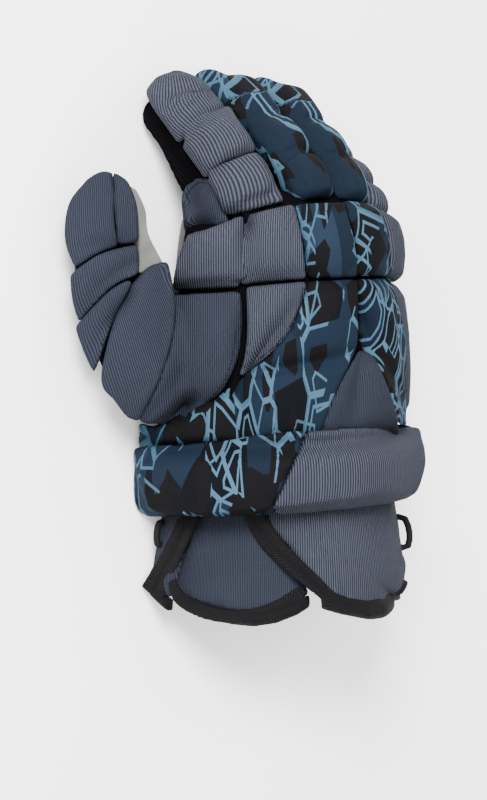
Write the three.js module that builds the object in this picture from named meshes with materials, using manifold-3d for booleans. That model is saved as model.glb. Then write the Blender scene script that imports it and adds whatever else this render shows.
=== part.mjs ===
// A padded lacrosse glove for the right hand, lying palm down on a flat surface.
// Millimetres, +X towards the little finger, +Y towards the fingertips, +Z up.
// The origin is at the middle of the underside of the glove's box.

import * as THREE from "three";
import Module from "manifold-3d";
import { mergeVertices } from "three/addons/utils/BufferGeometryUtils.js";

const wasm = await Module();
wasm.setup();

// Sizes of the hand
const handLength = 182;
const handWidth = 151;
const handHeight = 93;
const handWall = 2.2;
const handPad = 12;
const cheekTurn = 31;
const cheekReach = 97;

// Sizes of the fingers
const indexReach = 89;
const middleReach = 91;
const ringReach = 88;
const pinkyReach = 64;
const sleeveWidth = 22;
const sleeveHeight = 24;
const sleeveWall = 1.8;
const fingerPad = 10.5;
const fingertipLevel = 23.5;

// Sizes of the thumb
const thumbReach = 130;
const thumbWidth = 29;
const thumbHeight = 25;
const thumbPad = 7.5;

// Sizes of the cuff
const bandHeight = 35.5;
const bandThickness = 14;
const cuffWidth = 152;
const cuffRise = 94;
const bandSlope = 6;
const bandTop = 34;
const flapLength = 80;
const flapThickness = 6;
const flapFlare = 10;
const flapInset = 15.5;
const bindingWidth = 6.5;
const bindingRise = 0.8;
const sideBindingWidth = 10;

// Thin goods and cords
const leatherThickness = 1.4;
const laceDiameter = 2.8;
const laceRise = 6.5;
const tabRise = 13;
const webThickness = 1.8;
const webSag = 1.5;

// Clearances between pieces
const seatGap = 0.6;
const sleeveClearance = 0.4;
const laceSeat = 0.35;
const seamGap = 0.5;

// Colours of the cloths
const greyCloth = { color: 0x62687c, roughness: 0.85, metalness: 0 };
const printCloth = { color: 0x2a3a4e, roughness: 0.8, metalness: 0 };
const blackKnit = { color: 0x1d1b20, roughness: 0.9, metalness: 0 };
const blackWebbing = { color: 0x17171a, roughness: 0.7, metalness: 0 };
const paleSuede = { color: 0xa9a9a5, roughness: 0.95, metalness: 0 };

const glove = new THREE.Group();
const DEGREE = Math.PI / 180;
const handBack = -89;
const degreesPerMm = 1 / ((cuffWidth / 2) * DEGREE);
const besideTurn = seamGap * degreesPerMm;

// Adds one closed surface as a named piece
function addPiece(name, geometry, cloth) {
  const mesh = new THREE.Mesh(geometry, new THREE.MeshStandardMaterial(cloth));
  mesh.name = name;
  glove.add(mesh);
}

// A geometry from corner points and triangles
function geometryOf(points, faces) {
  const geometry = new THREE.BufferGeometry();
  const flat = points.flatMap((point) => [point.x, point.y, point.z]);
  geometry.setAttribute("position", new THREE.Float32BufferAttribute(flat, 3));
  geometry.setIndex(faces);
  return geometry;
}

// A smooth value at a share, from rows with one named column
function column(rows, key, share) {
  const last = rows.length - 1;
  let index = 0;
  while (index < last - 1 && share > rows[index + 1].along) index += 1;
  const from = rows[index];
  const to = rows[index + 1];
  const before = rows[Math.max(index - 1, 0)];
  const after = rows[Math.min(index + 2, last)];
  const span = to.along - from.along;
  const t = (share - from.along) / span;
  const startSlope = (to[key] - before[key]) / (to.along - before.along) * span;
  const endSlope = (after[key] - from[key]) / (after.along - from.along) * span;
  const t2 = t * t;
  const t3 = t2 * t;
  return (2 * t3 - 3 * t2 + 1) * from[key] + (t3 - 2 * t2 + t) * startSlope
    + (-2 * t3 + 3 * t2) * to[key] + (t3 - t2) * endSlope;
}

// A signed power, which squares off a round section
function squared(value, power) {
  return Math.sign(value) * Math.abs(value) ** power;
}

// Sections of the hand from the wrist mouth to the knuckles.
// centre and half are shares of handWidth; level, rise and drop of handHeight.
const handRows = [
  { along: 0.00, centre: 0.000, level: 0.11, half: 0.485, rise: 0.885, drop: 0.065 },
  { along: 0.24, centre: -0.02, level: 0.17, half: 0.465, rise: 0.825, drop: 0.095 },
  { along: 0.48, centre: -0.07, level: 0.29, half: 0.462, rise: 0.73, drop: 0.15 },
  { along: 0.74, centre: -0.09, level: 0.38, half: 0.450, rise: 0.64, drop: 0.19 },
  { along: 0.90, centre: -0.09, level: 0.41, half: 0.430, rise: 0.57, drop: 0.19 },
  { along: 0.97, centre: -0.09, level: 0.44, half: 0.370, rise: 0.44, drop: 0.17 },
  { along: 1.00, centre: -0.09, level: 0.47, half: 0.300, rise: 0.30, drop: 0.12 },
];

// The section of the hand at a share of its length
function handSection(share) {
  return {
    y: handBack + share * handLength,
    x: column(handRows, "centre", share) * handWidth,
    z: column(handRows, "level", share) * handHeight,
    half: column(handRows, "half", share) * handWidth,
    rise: column(handRows, "rise", share) * handHeight,
    drop: column(handRows, "drop", share) * handHeight,
  };
}

// A point on the hand: turn in degrees from the top towards the little finger
function handPoint(turn, share, lift) {
  const shape = handSection(share);
  const angle = turn * DEGREE;
  const power = Math.cos(angle) < 0 ? 0.75 : 1;
  const reach = Math.cos(angle) < 0 ? shape.drop : shape.rise;
  return new THREE.Vector3(
    shape.x + (shape.half + lift) * squared(Math.sin(angle), power),
    shape.y,
    shape.z + (reach + lift) * squared(Math.cos(angle), power),
  );
}

// The band: an upright arch; share runs from its wrist edge to its hand edge
function bandPoint(turn, share, lift) {
  const angle = turn * DEGREE;
  return new THREE.Vector3(
    (cuffWidth / 2 + lift) * Math.sin(angle),
    handBack + bandTop - (1 - share) * bandHeight + bandSlope * Math.sin(angle),
    (cuffRise + lift) * Math.cos(angle),
  );
}

// The flaps: an arch inside the band that flares away from the hand;
// share runs from the band to the tips of the flaps
function flapPoint(turn, share, lift) {
  const angle = turn * DEGREE;
  const flare = share * flapFlare - flapInset;
  return new THREE.Vector3(
    (cuffWidth / 2 + flare + lift) * Math.sin(angle),
    handBack + mouthShare * handLength - seamGap - share * flapLength,
    (cuffRise + flare + lift) * Math.cos(angle),
  );
}
const mouthShare = 0.05;

// A closed tube through rings of points, with both ends capped
function cappedTube(rings) {
  const count = rings[0].length;
  const points = rings.flat();
  const faces = [];
  for (let ring = 0; ring < rings.length - 1; ring += 1) {
    for (let side = 0; side < count; side += 1) {
      const next = (side + 1) % count;
      const a = ring * count + side;
      const b = ring * count + next;
      faces.push(a, b, b + count, a, b + count, a + count);
    }
  }
  for (const [ring, flip] of [[0, true], [rings.length - 1, false]]) {
    const centre = new THREE.Vector3();
    rings[ring].forEach((point) => centre.add(point));
    points.push(centre.divideScalar(count));
    const middle = points.length - 1;
    for (let side = 0; side < count; side += 1) {
      const a = ring * count + side;
      const b = ring * count + (side + 1) % count;
      if (flip) faces.push(middle, b, a);
      else faces.push(middle, a, b);
    }
  }
  return geometryOf(points, faces);
}

// A geometry as a solid that can be cut and joined, and back
function solidOf(geometry) {
  const bare = geometry.clone();
  bare.deleteAttribute("normal");
  bare.deleteAttribute("uv");
  const merged = mergeVertices(bare, 1e-4);
  const mesh = new wasm.Mesh({
    numProp: 3,
    vertProperties: new Float32Array(merged.attributes.position.array),
    triVerts: new Uint32Array(merged.index.array),
  });
  mesh.merge();
  return new wasm.Manifold(mesh);
}

function geometryFrom(solid) {
  const mesh = solid.getMesh();
  const geometry = new THREE.BufferGeometry();
  geometry.setAttribute("position", new THREE.Float32BufferAttribute(mesh.vertProperties, 3));
  geometry.setIndex(Array.from(mesh.triVerts));
  return geometry;
}

// A geometry with other solids cut away
function trimmed(geometry, ...cutters) {
  return geometryFrom(cutters.reduce((solid, cutter) => solid.subtract(cutter), solidOf(geometry)));
}

// The bend of a finger along its crest: along and fall are shares of its reach and
// of its fall, fan of its sideways spread, roll of its turn at the knuckle, deep of
// sleeveHeight and wide of sleeveWidth.
const fingerRows = [
  { along: 0.00, fall: 0.00, fan: 0.00, roll: 0.60, deep: 2.30, wide: 0.92 },
  { along: 0.20, fall: 0.05, fan: 0.10, roll: 0.52, deep: 2.28, wide: 0.94 },
  { along: 0.45, fall: 0.22, fan: 0.32, roll: 0.38, deep: 2.00, wide: 1.00 },
  { along: 0.65, fall: 0.45, fan: 0.56, roll: 0.28, deep: 1.62, wide: 1.06 },
  { along: 0.85, fall: 0.76, fan: 0.82, roll: 0.22, deep: 1.25, wide: 1.04 },
  { along: 1.00, fall: 1.00, fan: 1.00, roll: 0.20, deep: 1.02, wide: 1.00 },
];

// One row for each finger: turn round the hand, sideways spread at the tip,
// depth at its base, girth and lean (of the roll) as shares of the rows above,
// swing of its pads round it in degrees, and the cloth of its pads
const fingers = [
  { name: "index", turn: -40, reach: indexReach, fan: -20,
    depth: 1.00, girth: 1.28, lean: 0.25, swing: -9, cloth: greyCloth },
  { name: "middle", turn: -8, reach: middleReach, fan: -9,
    depth: 0.86, girth: 1.05, lean: 1, swing: 0, cloth: printCloth },
  { name: "ring", turn: 16, reach: ringReach, fan: 1,
    depth: 0.82, girth: 1.00, lean: 1, swing: 0, cloth: printCloth },
  { name: "pinky", turn: 41, reach: pinkyReach, fan: 3,
    depth: 0.78, girth: 1.02, lean: 1, swing: 0, cloth: greyCloth },
];
const fingerBase = 0.80;

// The thumb under its crest: side and level are shares of handWidth and handHeight,
// forward of thumbReach, roll is in degrees, wide and deep are shares of its size.
const thumbRows = [
  { along: 0.00, side: -0.58, forward: 0.00, level: 0.43, roll: -30, wide: 1.25, deep: 1.20 },
  { along: 0.17, side: -0.70, forward: 0.17, level: 0.41, roll: -30, wide: 1.55, deep: 1.20 },
  { along: 0.33, side: -0.77, forward: 0.33, level: 0.39, roll: -30, wide: 1.85, deep: 1.15 },
  { along: 0.50, side: -0.82, forward: 0.50, level: 0.37, roll: -30, wide: 1.80, deep: 1.05 },
  { along: 0.66, side: -0.865, forward: 0.66, level: 0.35, roll: -30, wide: 1.50, deep: 1.00 },
  { along: 0.82, side: -0.885, forward: 0.82, level: 0.34, roll: -30, wide: 1.36, deep: 1.00 },
  { along: 1.00, side: -0.875, forward: 1.00, level: 0.325, roll: -30, wide: 1.20, deep: 0.92 },
];
const thumbStart = -45;
const tipShare = 0.14;
const limbPower = 0.82;
const sideLift = 0.62;

// A bent tube under a crest line, which gives points on and above its surface.
// wide and deep are its half width and half height at a share of its length.
function makeLimb(crest, roll, wide, deep) {
  const step = 0.01;
  function frame(share) {
    const ahead = crest(share + step).sub(crest(share - step)).normalize();
    const angle = roll(share) * DEGREE;
    const up = new THREE.Vector3(Math.sin(angle), 0, Math.cos(angle));
    up.addScaledVector(ahead, -up.dot(ahead)).normalize();
    const across = new THREE.Vector3().crossVectors(ahead, up);
    const centre = crest(share).addScaledVector(up, -deep(share));
    return { centre, ahead, up, across };
  }
  // A share above 1 runs over the round tip
  function point(turn, share, lift) {
    const body = Math.min(share, 1);
    const over = Math.max(0, share - 1) / tipShare;
    const shrink = Math.sqrt(Math.max(0.03, 1 - over * over));
    const at = frame(body);
    const angle = turn * DEGREE;
    const out = lift * (0.45 + 0.55 * shrink);
    const forward = over * (wide(1) * 0.9 + lift * 0.55);
    const sideways = (wide(body) * shrink + out * sideLift) * squared(Math.sin(angle), limbPower);
    const upwards = (deep(body) * shrink + out) * squared(Math.cos(angle), limbPower);
    return at.centre.addScaledVector(at.ahead, forward)
      .addScaledVector(at.across, sideways).addScaledVector(at.up, upwards);
  }
  return { point, frame };
}

function makeFinger(finger) {
  const seat = handSection(fingerBase);
  const angle = finger.turn * DEGREE;
  const inset = handWall + 1;
  const startX = seat.x + (seat.half - inset) * Math.sin(angle);
  const startZ = seat.z + (seat.rise - inset) * Math.cos(angle);
  const roll = Math.atan2(Math.sin(angle) / seat.half, Math.cos(angle) / seat.rise) / DEGREE;
  const fall = startZ - fingertipLevel;
  const crest = (share) => new THREE.Vector3(
    startX + column(fingerRows, "fan", share) * finger.fan,
    seat.y + share * finger.reach,
    startZ - column(fingerRows, "fall", share) * fall,
  );
  return makeLimb(
    crest,
    (share) => roll * finger.lean * column(fingerRows, "roll", share),
    (share) => column(fingerRows, "wide", share) * finger.girth * sleeveWidth / 2,
    (share) => column(fingerRows, "deep", share) * sleeveHeight / 2
      * (1 - (1 - finger.depth) * (1 - share)),
  );
}

function makeThumb() {
  const crest = (share) => new THREE.Vector3(
    column(thumbRows, "side", share) * handWidth,
    thumbStart + column(thumbRows, "forward", share) * thumbReach,
    column(thumbRows, "level", share) * handHeight,
  );
  return makeLimb(
    crest,
    (share) => column(thumbRows, "roll", share),
    (share) => column(thumbRows, "wide", share) * thumbWidth / 2,
    (share) => column(thumbRows, "deep", share) * thumbHeight / 2,
  );
}

// Rings of a limb's surface between two shares
function limbRings(limb, shares, sides, lift) {
  return shares.map((share) => {
    const ring = [];
    for (let side = 0; side < sides; side += 1) {
      ring.push(limb.point((side * 360) / sides, share, lift));
    }
    return ring;
  });
}

// A hollow sleeve: outer rings to the tip, inner rings back, and a rim at the base
function sleeveGeometry(limb, shares, sides, wall) {
  const rings = limbRings(limb, shares, sides, 0);
  const inner = limbRings(limb, shares.map((share) => Math.min(share, 1 + tipShare * 0.8)), sides, -wall);
  const points = [...rings.flat(), ...inner.flat()];
  const offset = rings.length * sides;
  const faces = [];
  for (let ring = 0; ring < rings.length - 1; ring += 1) {
    for (let side = 0; side < sides; side += 1) {
      const next = (side + 1) % sides;
      const a = ring * sides + side;
      const b = ring * sides + next;
      faces.push(a, b, b + sides, a, b + sides, a + sides);
      faces.push(offset + a, offset + b + sides, offset + b);
      faces.push(offset + a, offset + a + sides, offset + b + sides);
    }
  }
  const last = (rings.length - 1) * sides;
  for (const [start, flip] of [[last, false], [offset + last, true]]) {
    const centre = new THREE.Vector3();
    for (let side = 0; side < sides; side += 1) centre.add(points[start + side]);
    points.push(centre.divideScalar(sides));
    for (let side = 0; side < sides; side += 1) {
      const next = (side + 1) % sides;
      if (flip) faces.push(points.length - 1, start + next, start + side);
      else faces.push(points.length - 1, start + side, start + next);
    }
  }
  for (let side = 0; side < sides; side += 1) {
    const next = (side + 1) % sides;
    faces.push(side, offset + side, offset + next, side, offset + next, next);
  }
  return geometryOf(points, faces);
}

// A closed surface between two grids of points, with a rim round their edge
function closedSheet(top, under, wide) {
  const rows = top.length / wide;
  const half = top.length;
  const faces = [];
  for (let j = 0; j < rows - 1; j += 1) {
    for (let i = 0; i < wide - 1; i += 1) {
      const a = j * wide + i;
      faces.push(a, a + 1, a + 1 + wide, a, a + 1 + wide, a + wide);
      faces.push(half + a, half + a + 1 + wide, half + a + 1);
      faces.push(half + a, half + a + wide, half + a + 1 + wide);
    }
  }
  const rim = [];
  for (let i = 0; i < wide - 1; i += 1) rim.push(i);
  for (let j = 0; j < rows - 1; j += 1) rim.push(j * wide + wide - 1);
  for (let i = wide - 1; i > 0; i -= 1) rim.push((rows - 1) * wide + i);
  for (let j = rows - 1; j > 0; j -= 1) rim.push(j * wide);
  rim.forEach((a, index) => {
    const b = rim[(index + 1) % rim.length];
    faces.push(a, half + b, b, a, half + a, half + b);
  });
  return geometryOf([...top, ...under], faces);
}

// A pad on a surface: corners are [turn, share] for the near left, near right,
// far right and far left corner, and a bow pushes the middle of a side outwards
// along the share. The height falls from a crown to the edge height.
function padGeometry(surface, corners, options) {
  const { across = 5, along = 5, height, edge = 0.45, base = seatGap, bow = [0, 0] } = options;
  const grid = (count) => {
    if (count < 5) return Array.from({ length: count + 1 }, (_, i) => i / count);
    const inner = Array.from({ length: count - 1 }, (_, i) => 0.1 + (0.8 * i) / (count - 2));
    return [0, ...inner, 1];
  };
  const columns = grid(across);
  const rows = grid(along);
  const dome = (value) => Math.sqrt(1 - Math.abs(2 * value - 1) ** 4);
  const top = [];
  const under = [];
  for (const t of rows) {
    for (const column of columns) {
      const s = options.reverse ? 1 - column : column;
      const bulge = 4 * s * (1 - s) * ((1 - t) * -bow[0] + t * bow[1]);
      const turn = (1 - t) * ((1 - s) * corners[0][0] + s * corners[1][0])
        + t * ((1 - s) * corners[3][0] + s * corners[2][0]);
      const share = (1 - t) * ((1 - s) * corners[0][1] + s * corners[1][1])
        + t * ((1 - s) * corners[3][1] + s * corners[2][1]) + bulge;
      const crown = edge + (1 - edge) * (options.squareEnds ? 1 : dome(s)) * dome(t);
      top.push(surface(turn, share, base + height * crown));
      under.push(surface(turn, share, base));
    }
  }
  return closedSheet(top, under, columns.length);
}

// Hollow body of the hand, with round holes where the sleeves pass through
const limbs = Object.fromEntries(fingers.map((finger) => [finger.name, makeFinger(finger)]));
const thumb = makeThumb();
const limbSides = 10;
const sleeveShares = [0.12, 0.34, 0.57, 0.8, 1, 1.08, 1.135];
const thumbShares = [0.06, 0.22, 0.4, 0.6, 0.8, 1, 1.08, 1.135];

function handRings(lift, shares, sides) {
  return shares.map((share) => {
    const ring = [];
    for (let side = 0; side < sides; side += 1) ring.push(handPoint((side * 360) / sides, share, lift));
    return ring;
  });
}
const handSides = 18;
const handShares = [mouthShare, 0.24, 0.48, 0.72, 0.9, 0.97, 1];
const innerShares = [mouthShare - 0.02, ...handShares.slice(1, -1), 0.985];

// The hand's surface moved out by a lift, its front corner beside the index finger
// cut off on a slant
function handBody(lift, shares, sides) {
  const size = 2 * handLength;
  const corner = new THREE.BoxGeometry(size, size, size);
  corner.translate(0, size / 2 + cheekReach + lift, 0).rotateZ(cheekTurn * DEGREE);
  return solidOf(cappedTube(handRings(lift, shares, sides))).subtract(solidOf(corner));
}
const handOuter = handBody(0, handShares, handSides);
const handInner = handBody(-handWall, innerShares, handSides);
const limbSolids = {};
let handShell = handOuter.subtract(handInner);
for (const [name, limb] of [...Object.entries(limbs), ["thumb", thumb]]) {
  const shares = name === "thumb" ? thumbShares : sleeveShares;
  limbSolids[name] = solidOf(cappedTube(limbRings(limb, [0, ...shares], limbSides, sleeveClearance)));
  handShell = handShell.subtract(limbSolids[name]);
}
const handSolid = handBody(sleeveClearance, handShares, handSides);
const padReach = seatGap + handPad + 2 * seamGap;
const paddedHand = solidOf(cappedTube(handRings(padReach, [0.24, 0.36, 0.52, 0.685], 2 * handSides)));
addPiece("hand_shell", geometryFrom(handShell), blackKnit);

for (const finger of fingers) {
  const sleeve = sleeveGeometry(limbs[finger.name], sleeveShares, limbSides, sleeveWall);
  addPiece(`${finger.name}_sleeve`, sleeve, blackKnit);
}
addPiece("thumb_sleeve", sleeveGeometry(thumb, thumbShares, limbSides, sleeveWall), blackKnit);

// Four corners of a pad from the turns and shares at its near and far side,
// each as [left, right]
function cornersOf({ near, far, start, end }, swing = 0) {
  return [
    [near[0] + swing, start[0]], [near[1] + swing, start[1]],
    [far[1] + swing, end[1]], [far[0] + swing, end[0]],
  ];
}

// Padded blocks on the fingers, by shares of the reach
const fingerPads = [
  { part: "lower", near: [-58, 58], far: [-60, 60], start: [0.30, 0.30], end: [0.535, 0.535] },
  { part: "upper", near: [-62, 62], far: [-64, 64], start: [0.56, 0.56], end: [0.765, 0.765] },
  { part: "tip", near: [-66, 66], far: [-66, 66], start: [0.79, 0.79], end: [1.12, 1.12] },
];
for (const finger of fingers) {
  const surface = limbs[finger.name].point;
  for (const pad of fingerPads) {
    const corners = cornersOf(pad, finger.swing);
    const geometry = padGeometry(surface, corners, { height: fingerPad, base: 2 * seatGap });
    const name = `${finger.name}_pad_${pad.part}`;
    addPiece(name, trimmed(geometry, handSolid, limbSolids[finger.name]), finger.cloth);
  }
}
addPiece("index_side_tongue", trimmed(padGeometry(limbs.index.point, cornersOf({
  near: [-104, -72], far: [-100, -73], start: [0.13, 0.20], end: [0.44, 0.535],
}), { height: fingerPad * 0.8, base: 2 * seatGap }), handSolid, limbSolids.index), greyCloth);

// Padded blocks on the hand, by turns and by shares of handLength
const handPads = [
  { name: "index_knuckle", near: [-48.5, -22], far: [-51, -22.5],
    start: [0.70, 0.70], end: [0.93, 0.94], cloth: greyCloth },
  { name: "middle_knuckle", near: [-20.5, 3.5], far: [-21, 3],
    start: [0.705, 0.705], end: [0.945, 0.945], cloth: printCloth },
  { name: "ring_knuckle", near: [5, 25.5], far: [4.5, 26],
    start: [0.715, 0.715], end: [0.945, 0.94], cloth: printCloth },
  { name: "pinky_knuckle", near: [27, 50], far: [27.5, 50],
    start: [0.715, 0.70], end: [0.93, 0.90], cloth: greyCloth },
  { name: "index_side_knuckle", near: [-88, -50], far: [-84, -53],
    start: [0.685, 0.695], end: [0.82, 0.89], cloth: greyCloth },
  { name: "index_back_pad", near: [-53, -31.5], far: [-48.5, -22],
    start: [0.39, 0.60], end: [0.685, 0.685], cloth: greyCloth },
  { name: "web_pad", near: [-104, -57], far: [-88, -50.5],
    start: [0.26, 0.36], end: [0.665, 0.675], bow: [0.02, 0], cloth: greyCloth },
  { name: "middle_back_pad", near: [-47.5, 4], far: [-20.5, 3.5],
    start: [0.41, 0.475], end: [0.69, 0.69], cloth: printCloth },
  { name: "ring_back_pad", near: [14, 40], far: [5.2, 25.5],
    start: [0.475, 0.27], end: [0.70, 0.70], cloth: printCloth },
  { name: "pinky_back_pad", near: [43, 62], far: [27, 50],
    start: [0.27, 0.27], end: [0.70, 0.685], cloth: greyCloth },
  { name: "back_side_pad", near: [-104, -53], far: [-104, -57],
    start: [0.185, 0.20], end: [0.235, 0.335], cloth: printCloth },
  { name: "back_base_pad", near: [-51, -9], far: [-51, 3],
    start: [0.20, 0.215], end: [0.395, 0.465], cloth: printCloth },
  { name: "back_corner_pad", near: [-7, 39], far: [5.5, 12.5],
    start: [0.215, 0.235], end: [0.46, 0.465], cloth: greyCloth },
];
const webPad = handPads.find((pad) => pad.name === "web_pad");
const webPadSolid = solidOf(padGeometry(handPoint, cornersOf({
  ...webPad,
  near: webPad.near.map((turn) => turn - 2 * besideTurn),
  far: webPad.far.map((turn) => turn - 2 * besideTurn),
}), { height: handPad + seamGap, base: 0, bow: webPad.bow }));
for (const pad of handPads) {
  const geometry = padGeometry(handPoint, cornersOf(pad), { height: handPad, bow: pad.bow });
  addPiece(pad.name, trimmed(geometry, handSolid, limbSolids.thumb), pad.cloth);
}

// Padded blocks on the thumb
const thumbPads = [
  { name: "thumb_pad_base", near: [-88, 64], far: [-88, 64],
    start: [0.05, 0.22], end: [0.21, 0.67], bow: [0, 0.05] },
  { name: "thumb_pad_lower", near: [-86, 62], far: [-86, 60],
    start: [0.225, 0.685], end: [0.42, 0.70], bow: [-0.05, 0.06] },
  { name: "thumb_pad_upper", near: [-84, 60], far: [-84, 56],
    start: [0.435, 0.715], end: [0.645, 0.735], bow: [-0.06, 0.08] },
  { name: "thumb_pad_tip", near: [-84, 56], far: [-80, 56],
    start: [0.66, 0.75], end: [1.12, 1.12], bow: [-0.08, 0] },
];
for (const pad of thumbPads) {
  const options = { across: 7, height: thumbPad, base: 2 * seatGap, bow: pad.bow };
  const geometry = padGeometry(thumb.point, cornersOf(pad), options);
  const cutters = pad.name === "thumb_pad_base" ? [paddedHand, limbSolids.thumb] : [limbSolids.thumb];
  addPiece(pad.name, trimmed(geometry, ...cutters), greyCloth);
}

// Suede on the grip side of the hand, the fingers and the thumb
for (const finger of fingers) {
  const corners = [[125, 0.45], [235, 0.45], [245, 1.1], [115, 1.1]];
  const geometry = padGeometry(limbs[finger.name].point, corners, {
    across: 4, along: 5, height: leatherThickness, edge: 1, base: 2 * seatGap,
  });
  addPiece(`${finger.name}_leather`, trimmed(geometry, handSolid, limbSolids[finger.name]), paleSuede);
}
const palmLeather = padGeometry(handPoint, [[111, 0.2], [249, 0.2], [249, 0.9], [111, 0.9]], {
  across: 7, along: 5, height: leatherThickness, edge: 1, base: 2 * seatGap,
});
addPiece("palm_leather", trimmed(palmLeather, handSolid), paleSuede);
const thumbLeather = padGeometry(thumb.point, [[68, 0.72], [262, 0.46], [262, 1.1], [62, 1.1]], {
  across: 7, along: 5, height: leatherThickness, edge: 1, base: 2 * seatGap,
});
addPiece("thumb_leather", trimmed(thumbLeather, limbSolids.thumb), paleSuede);

// Padded roll round the wrist, whose ends stand square on the floor
const bandPads = [
  { name: "band_print", near: [-90, -39], far: [-90, -27.5],
    start: [0, 0], end: [1, 1], cloth: printCloth },
  { name: "band_grey", near: [-38.4, 90], far: [-26.9, 90],
    start: [0, 0], end: [1, 1], cloth: greyCloth },
];
for (const pad of bandPads) {
  const geometry = padGeometry(bandPoint, cornersOf(pad), {
    across: 9, height: bandThickness, edge: 0.4, squareEnds: true,
  });
  addPiece(pad.name, trimmed(geometry, handSolid), pad.cloth);
}

// Cuff flaps, by shares of flapLength; a flap of layer 1 lies over its neighbour
const flaps = [
  { name: "side", near: [-85, -69], far: [-89, -79], start: [0, 0], end: [0.68, 0.80], layer: 1 },
  { name: "centre", near: [-78, -38], far: [-78, -23],
    start: [0, 0], end: [0.68, 0.75], bow: [0, 0.17], layer: 0 },
  { name: "outer", near: [-47, 80], far: [-19, 60],
    start: [0, 0], end: [0.76, 0.72], bow: [0, 0.12], layer: 1 },
];
const flapSolids = {};
for (const flap of flaps) {
  const base = seatGap + flap.layer * (flapThickness + seatGap);
  const corners = cornersOf(flap);
  const options = { reverse: true, across: 7, edge: 0.6, bow: flap.bow, base };
  addPiece(`cuff_flap_${flap.name}`, padGeometry(flapPoint, corners, {
    ...options, height: flapThickness,
  }), greyCloth);
  flapSolids[flap.name] = solidOf(padGeometry(flapPoint, corners, {
    ...options, height: flapThickness + laceSeat,
  }));
}

// Webbing on the edges of the flaps: a strip below each flap and beside two of them
const stripGap = seamGap / flapLength;
const stripShare = bindingWidth / flapLength;
const stripTurn = sideBindingWidth * degreesPerMm;
for (const flap of flaps) {
  const base = seatGap + flap.layer * (flapThickness + seatGap);
  const bow = flap.bow ?? [0, 0];
  const strip = {
    near: flap.far,
    far: flap.far,
    start: flap.end.map((share) => share + stripGap),
    end: flap.end.map((share) => share + stripGap + stripShare),
  };
  addPiece(`binding_${flap.name}`, padGeometry(flapPoint, cornersOf(strip), {
    reverse: true, across: 7, along: 3, height: flapThickness + bindingRise, edge: 0.6,
    bow: [-bow[1], bow[1]], base,
  }), blackWebbing);
}
const sideStrips = [
  { name: "binding_side_edge", near: -69, far: -79, end: 0.80, direction: 1 },
  { name: "binding_outer_edge", near: -47, far: -19, end: 0.76, direction: -1 },
];
for (const strip of sideStrips) {
  const inner = strip.direction * besideTurn;
  const outer = strip.direction * (besideTurn + stripTurn);
  const order = (a, b) => (a < b ? [a, b] : [b, a]);
  const corners = cornersOf({
    near: order(strip.near + inner, strip.near + outer),
    far: order(strip.far + inner, strip.far + outer),
    start: [0, 0],
    end: [strip.end, strip.end],
  });
  addPiece(strip.name, padGeometry(flapPoint, corners, {
    reverse: true, across: 3, along: 6, height: flapThickness + bindingRise, edge: 0.6,
    base: seatGap + flapThickness + seatGap,
  }), blackWebbing);
}

// A leather web from the side of the hand to the thumb
const webColumns = 5;
const webRows = 7;
const webTop = [];
const webUnder = [];
for (let j = 0; j < webRows; j += 1) {
  const t = j / (webRows - 1);
  const fromHand = handPoint(-107.5, 0.36 + 0.34 * t, seatGap + webThickness);
  const toThumb = thumb.point(97, 0.26 + 0.36 * t, seatGap + webThickness);
  for (let i = 0; i < webColumns; i += 1) {
    const s = 1 - i / (webColumns - 1);
    const point = new THREE.Vector3().lerpVectors(fromHand, toThumb, s);
    point.z -= webSag * 4 * s * (1 - s);
    webTop.push(point.clone().setZ(point.z + webThickness / 2));
    webUnder.push(point.setZ(point.z - webThickness / 2));
  }
}
const webSheet = closedSheet(webTop, webUnder, webColumns);
addPiece("thumb_web", trimmed(webSheet, handSolid, limbSolids.thumb, webPadSolid), paleSuede);

// The lace, which comes out of a flap and goes back in beside it
const laceLoops = [
  { name: "lace_loop_outer", flap: "outer", turn: 44, from: 0.24, to: 0.44, rise: 1 },
  { name: "lace_loop_side", flap: "side", turn: -84, from: 0.26, to: 0.40, rise: 0.7 },
];
for (const loop of laceLoops) {
  const seat = 2 * (seatGap + flapThickness);
  const middle = (loop.from + loop.to) / 2;
  const route = [
    [loop.from, seat - laceDiameter], [loop.from - 0.012, seat + loop.rise * laceRise * 0.6],
    [middle, seat + loop.rise * laceRise], [loop.to + 0.012, seat + loop.rise * laceRise * 0.6],
    [loop.to, seat - laceDiameter],
  ].map(([share, lift]) => flapPoint(loop.turn, share, lift));
  const section = new THREE.Shape();
  section.absarc(0, 0, laceDiameter / 2, 0, 2 * Math.PI, false);
  const geometry = new THREE.ExtrudeGeometry(section, {
    steps: 8, curveSegments: 4, bevelEnabled: false, extrudePath: new THREE.CatmullRomCurve3(route),
  });
  addPiece(loop.name, trimmed(geometry, flapSolids[loop.flap]), blackWebbing);
}

// The small tab that stands behind the band
const bandTab = padGeometry(handPoint, cornersOf({
  near: [43, 54], far: [43, 54], start: [0.225, 0.225], end: [0.245, 0.245],
}), { across: 3, along: 3, height: tabRise, edge: 0.7, base: -seatGap });
addPiece("band_tab", trimmed(bandTab, handSolid), blackWebbing);

// The origin goes to the middle of the underside of the box
const box = new THREE.Box3().setFromObject(glove);
const middle = box.getCenter(new THREE.Vector3());
for (const mesh of glove.children) mesh.geometry.translate(-middle.x, -middle.y, -box.min.z);

export default glove;
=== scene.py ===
"""Cloth, suede, webbing, stitches, stage and camera for a padded lacrosse glove."""

import math

import bmesh
import bpy
import numpy as np
from mathutils import Matrix, Vector
from mathutils.bvhtree import BVHTree


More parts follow.
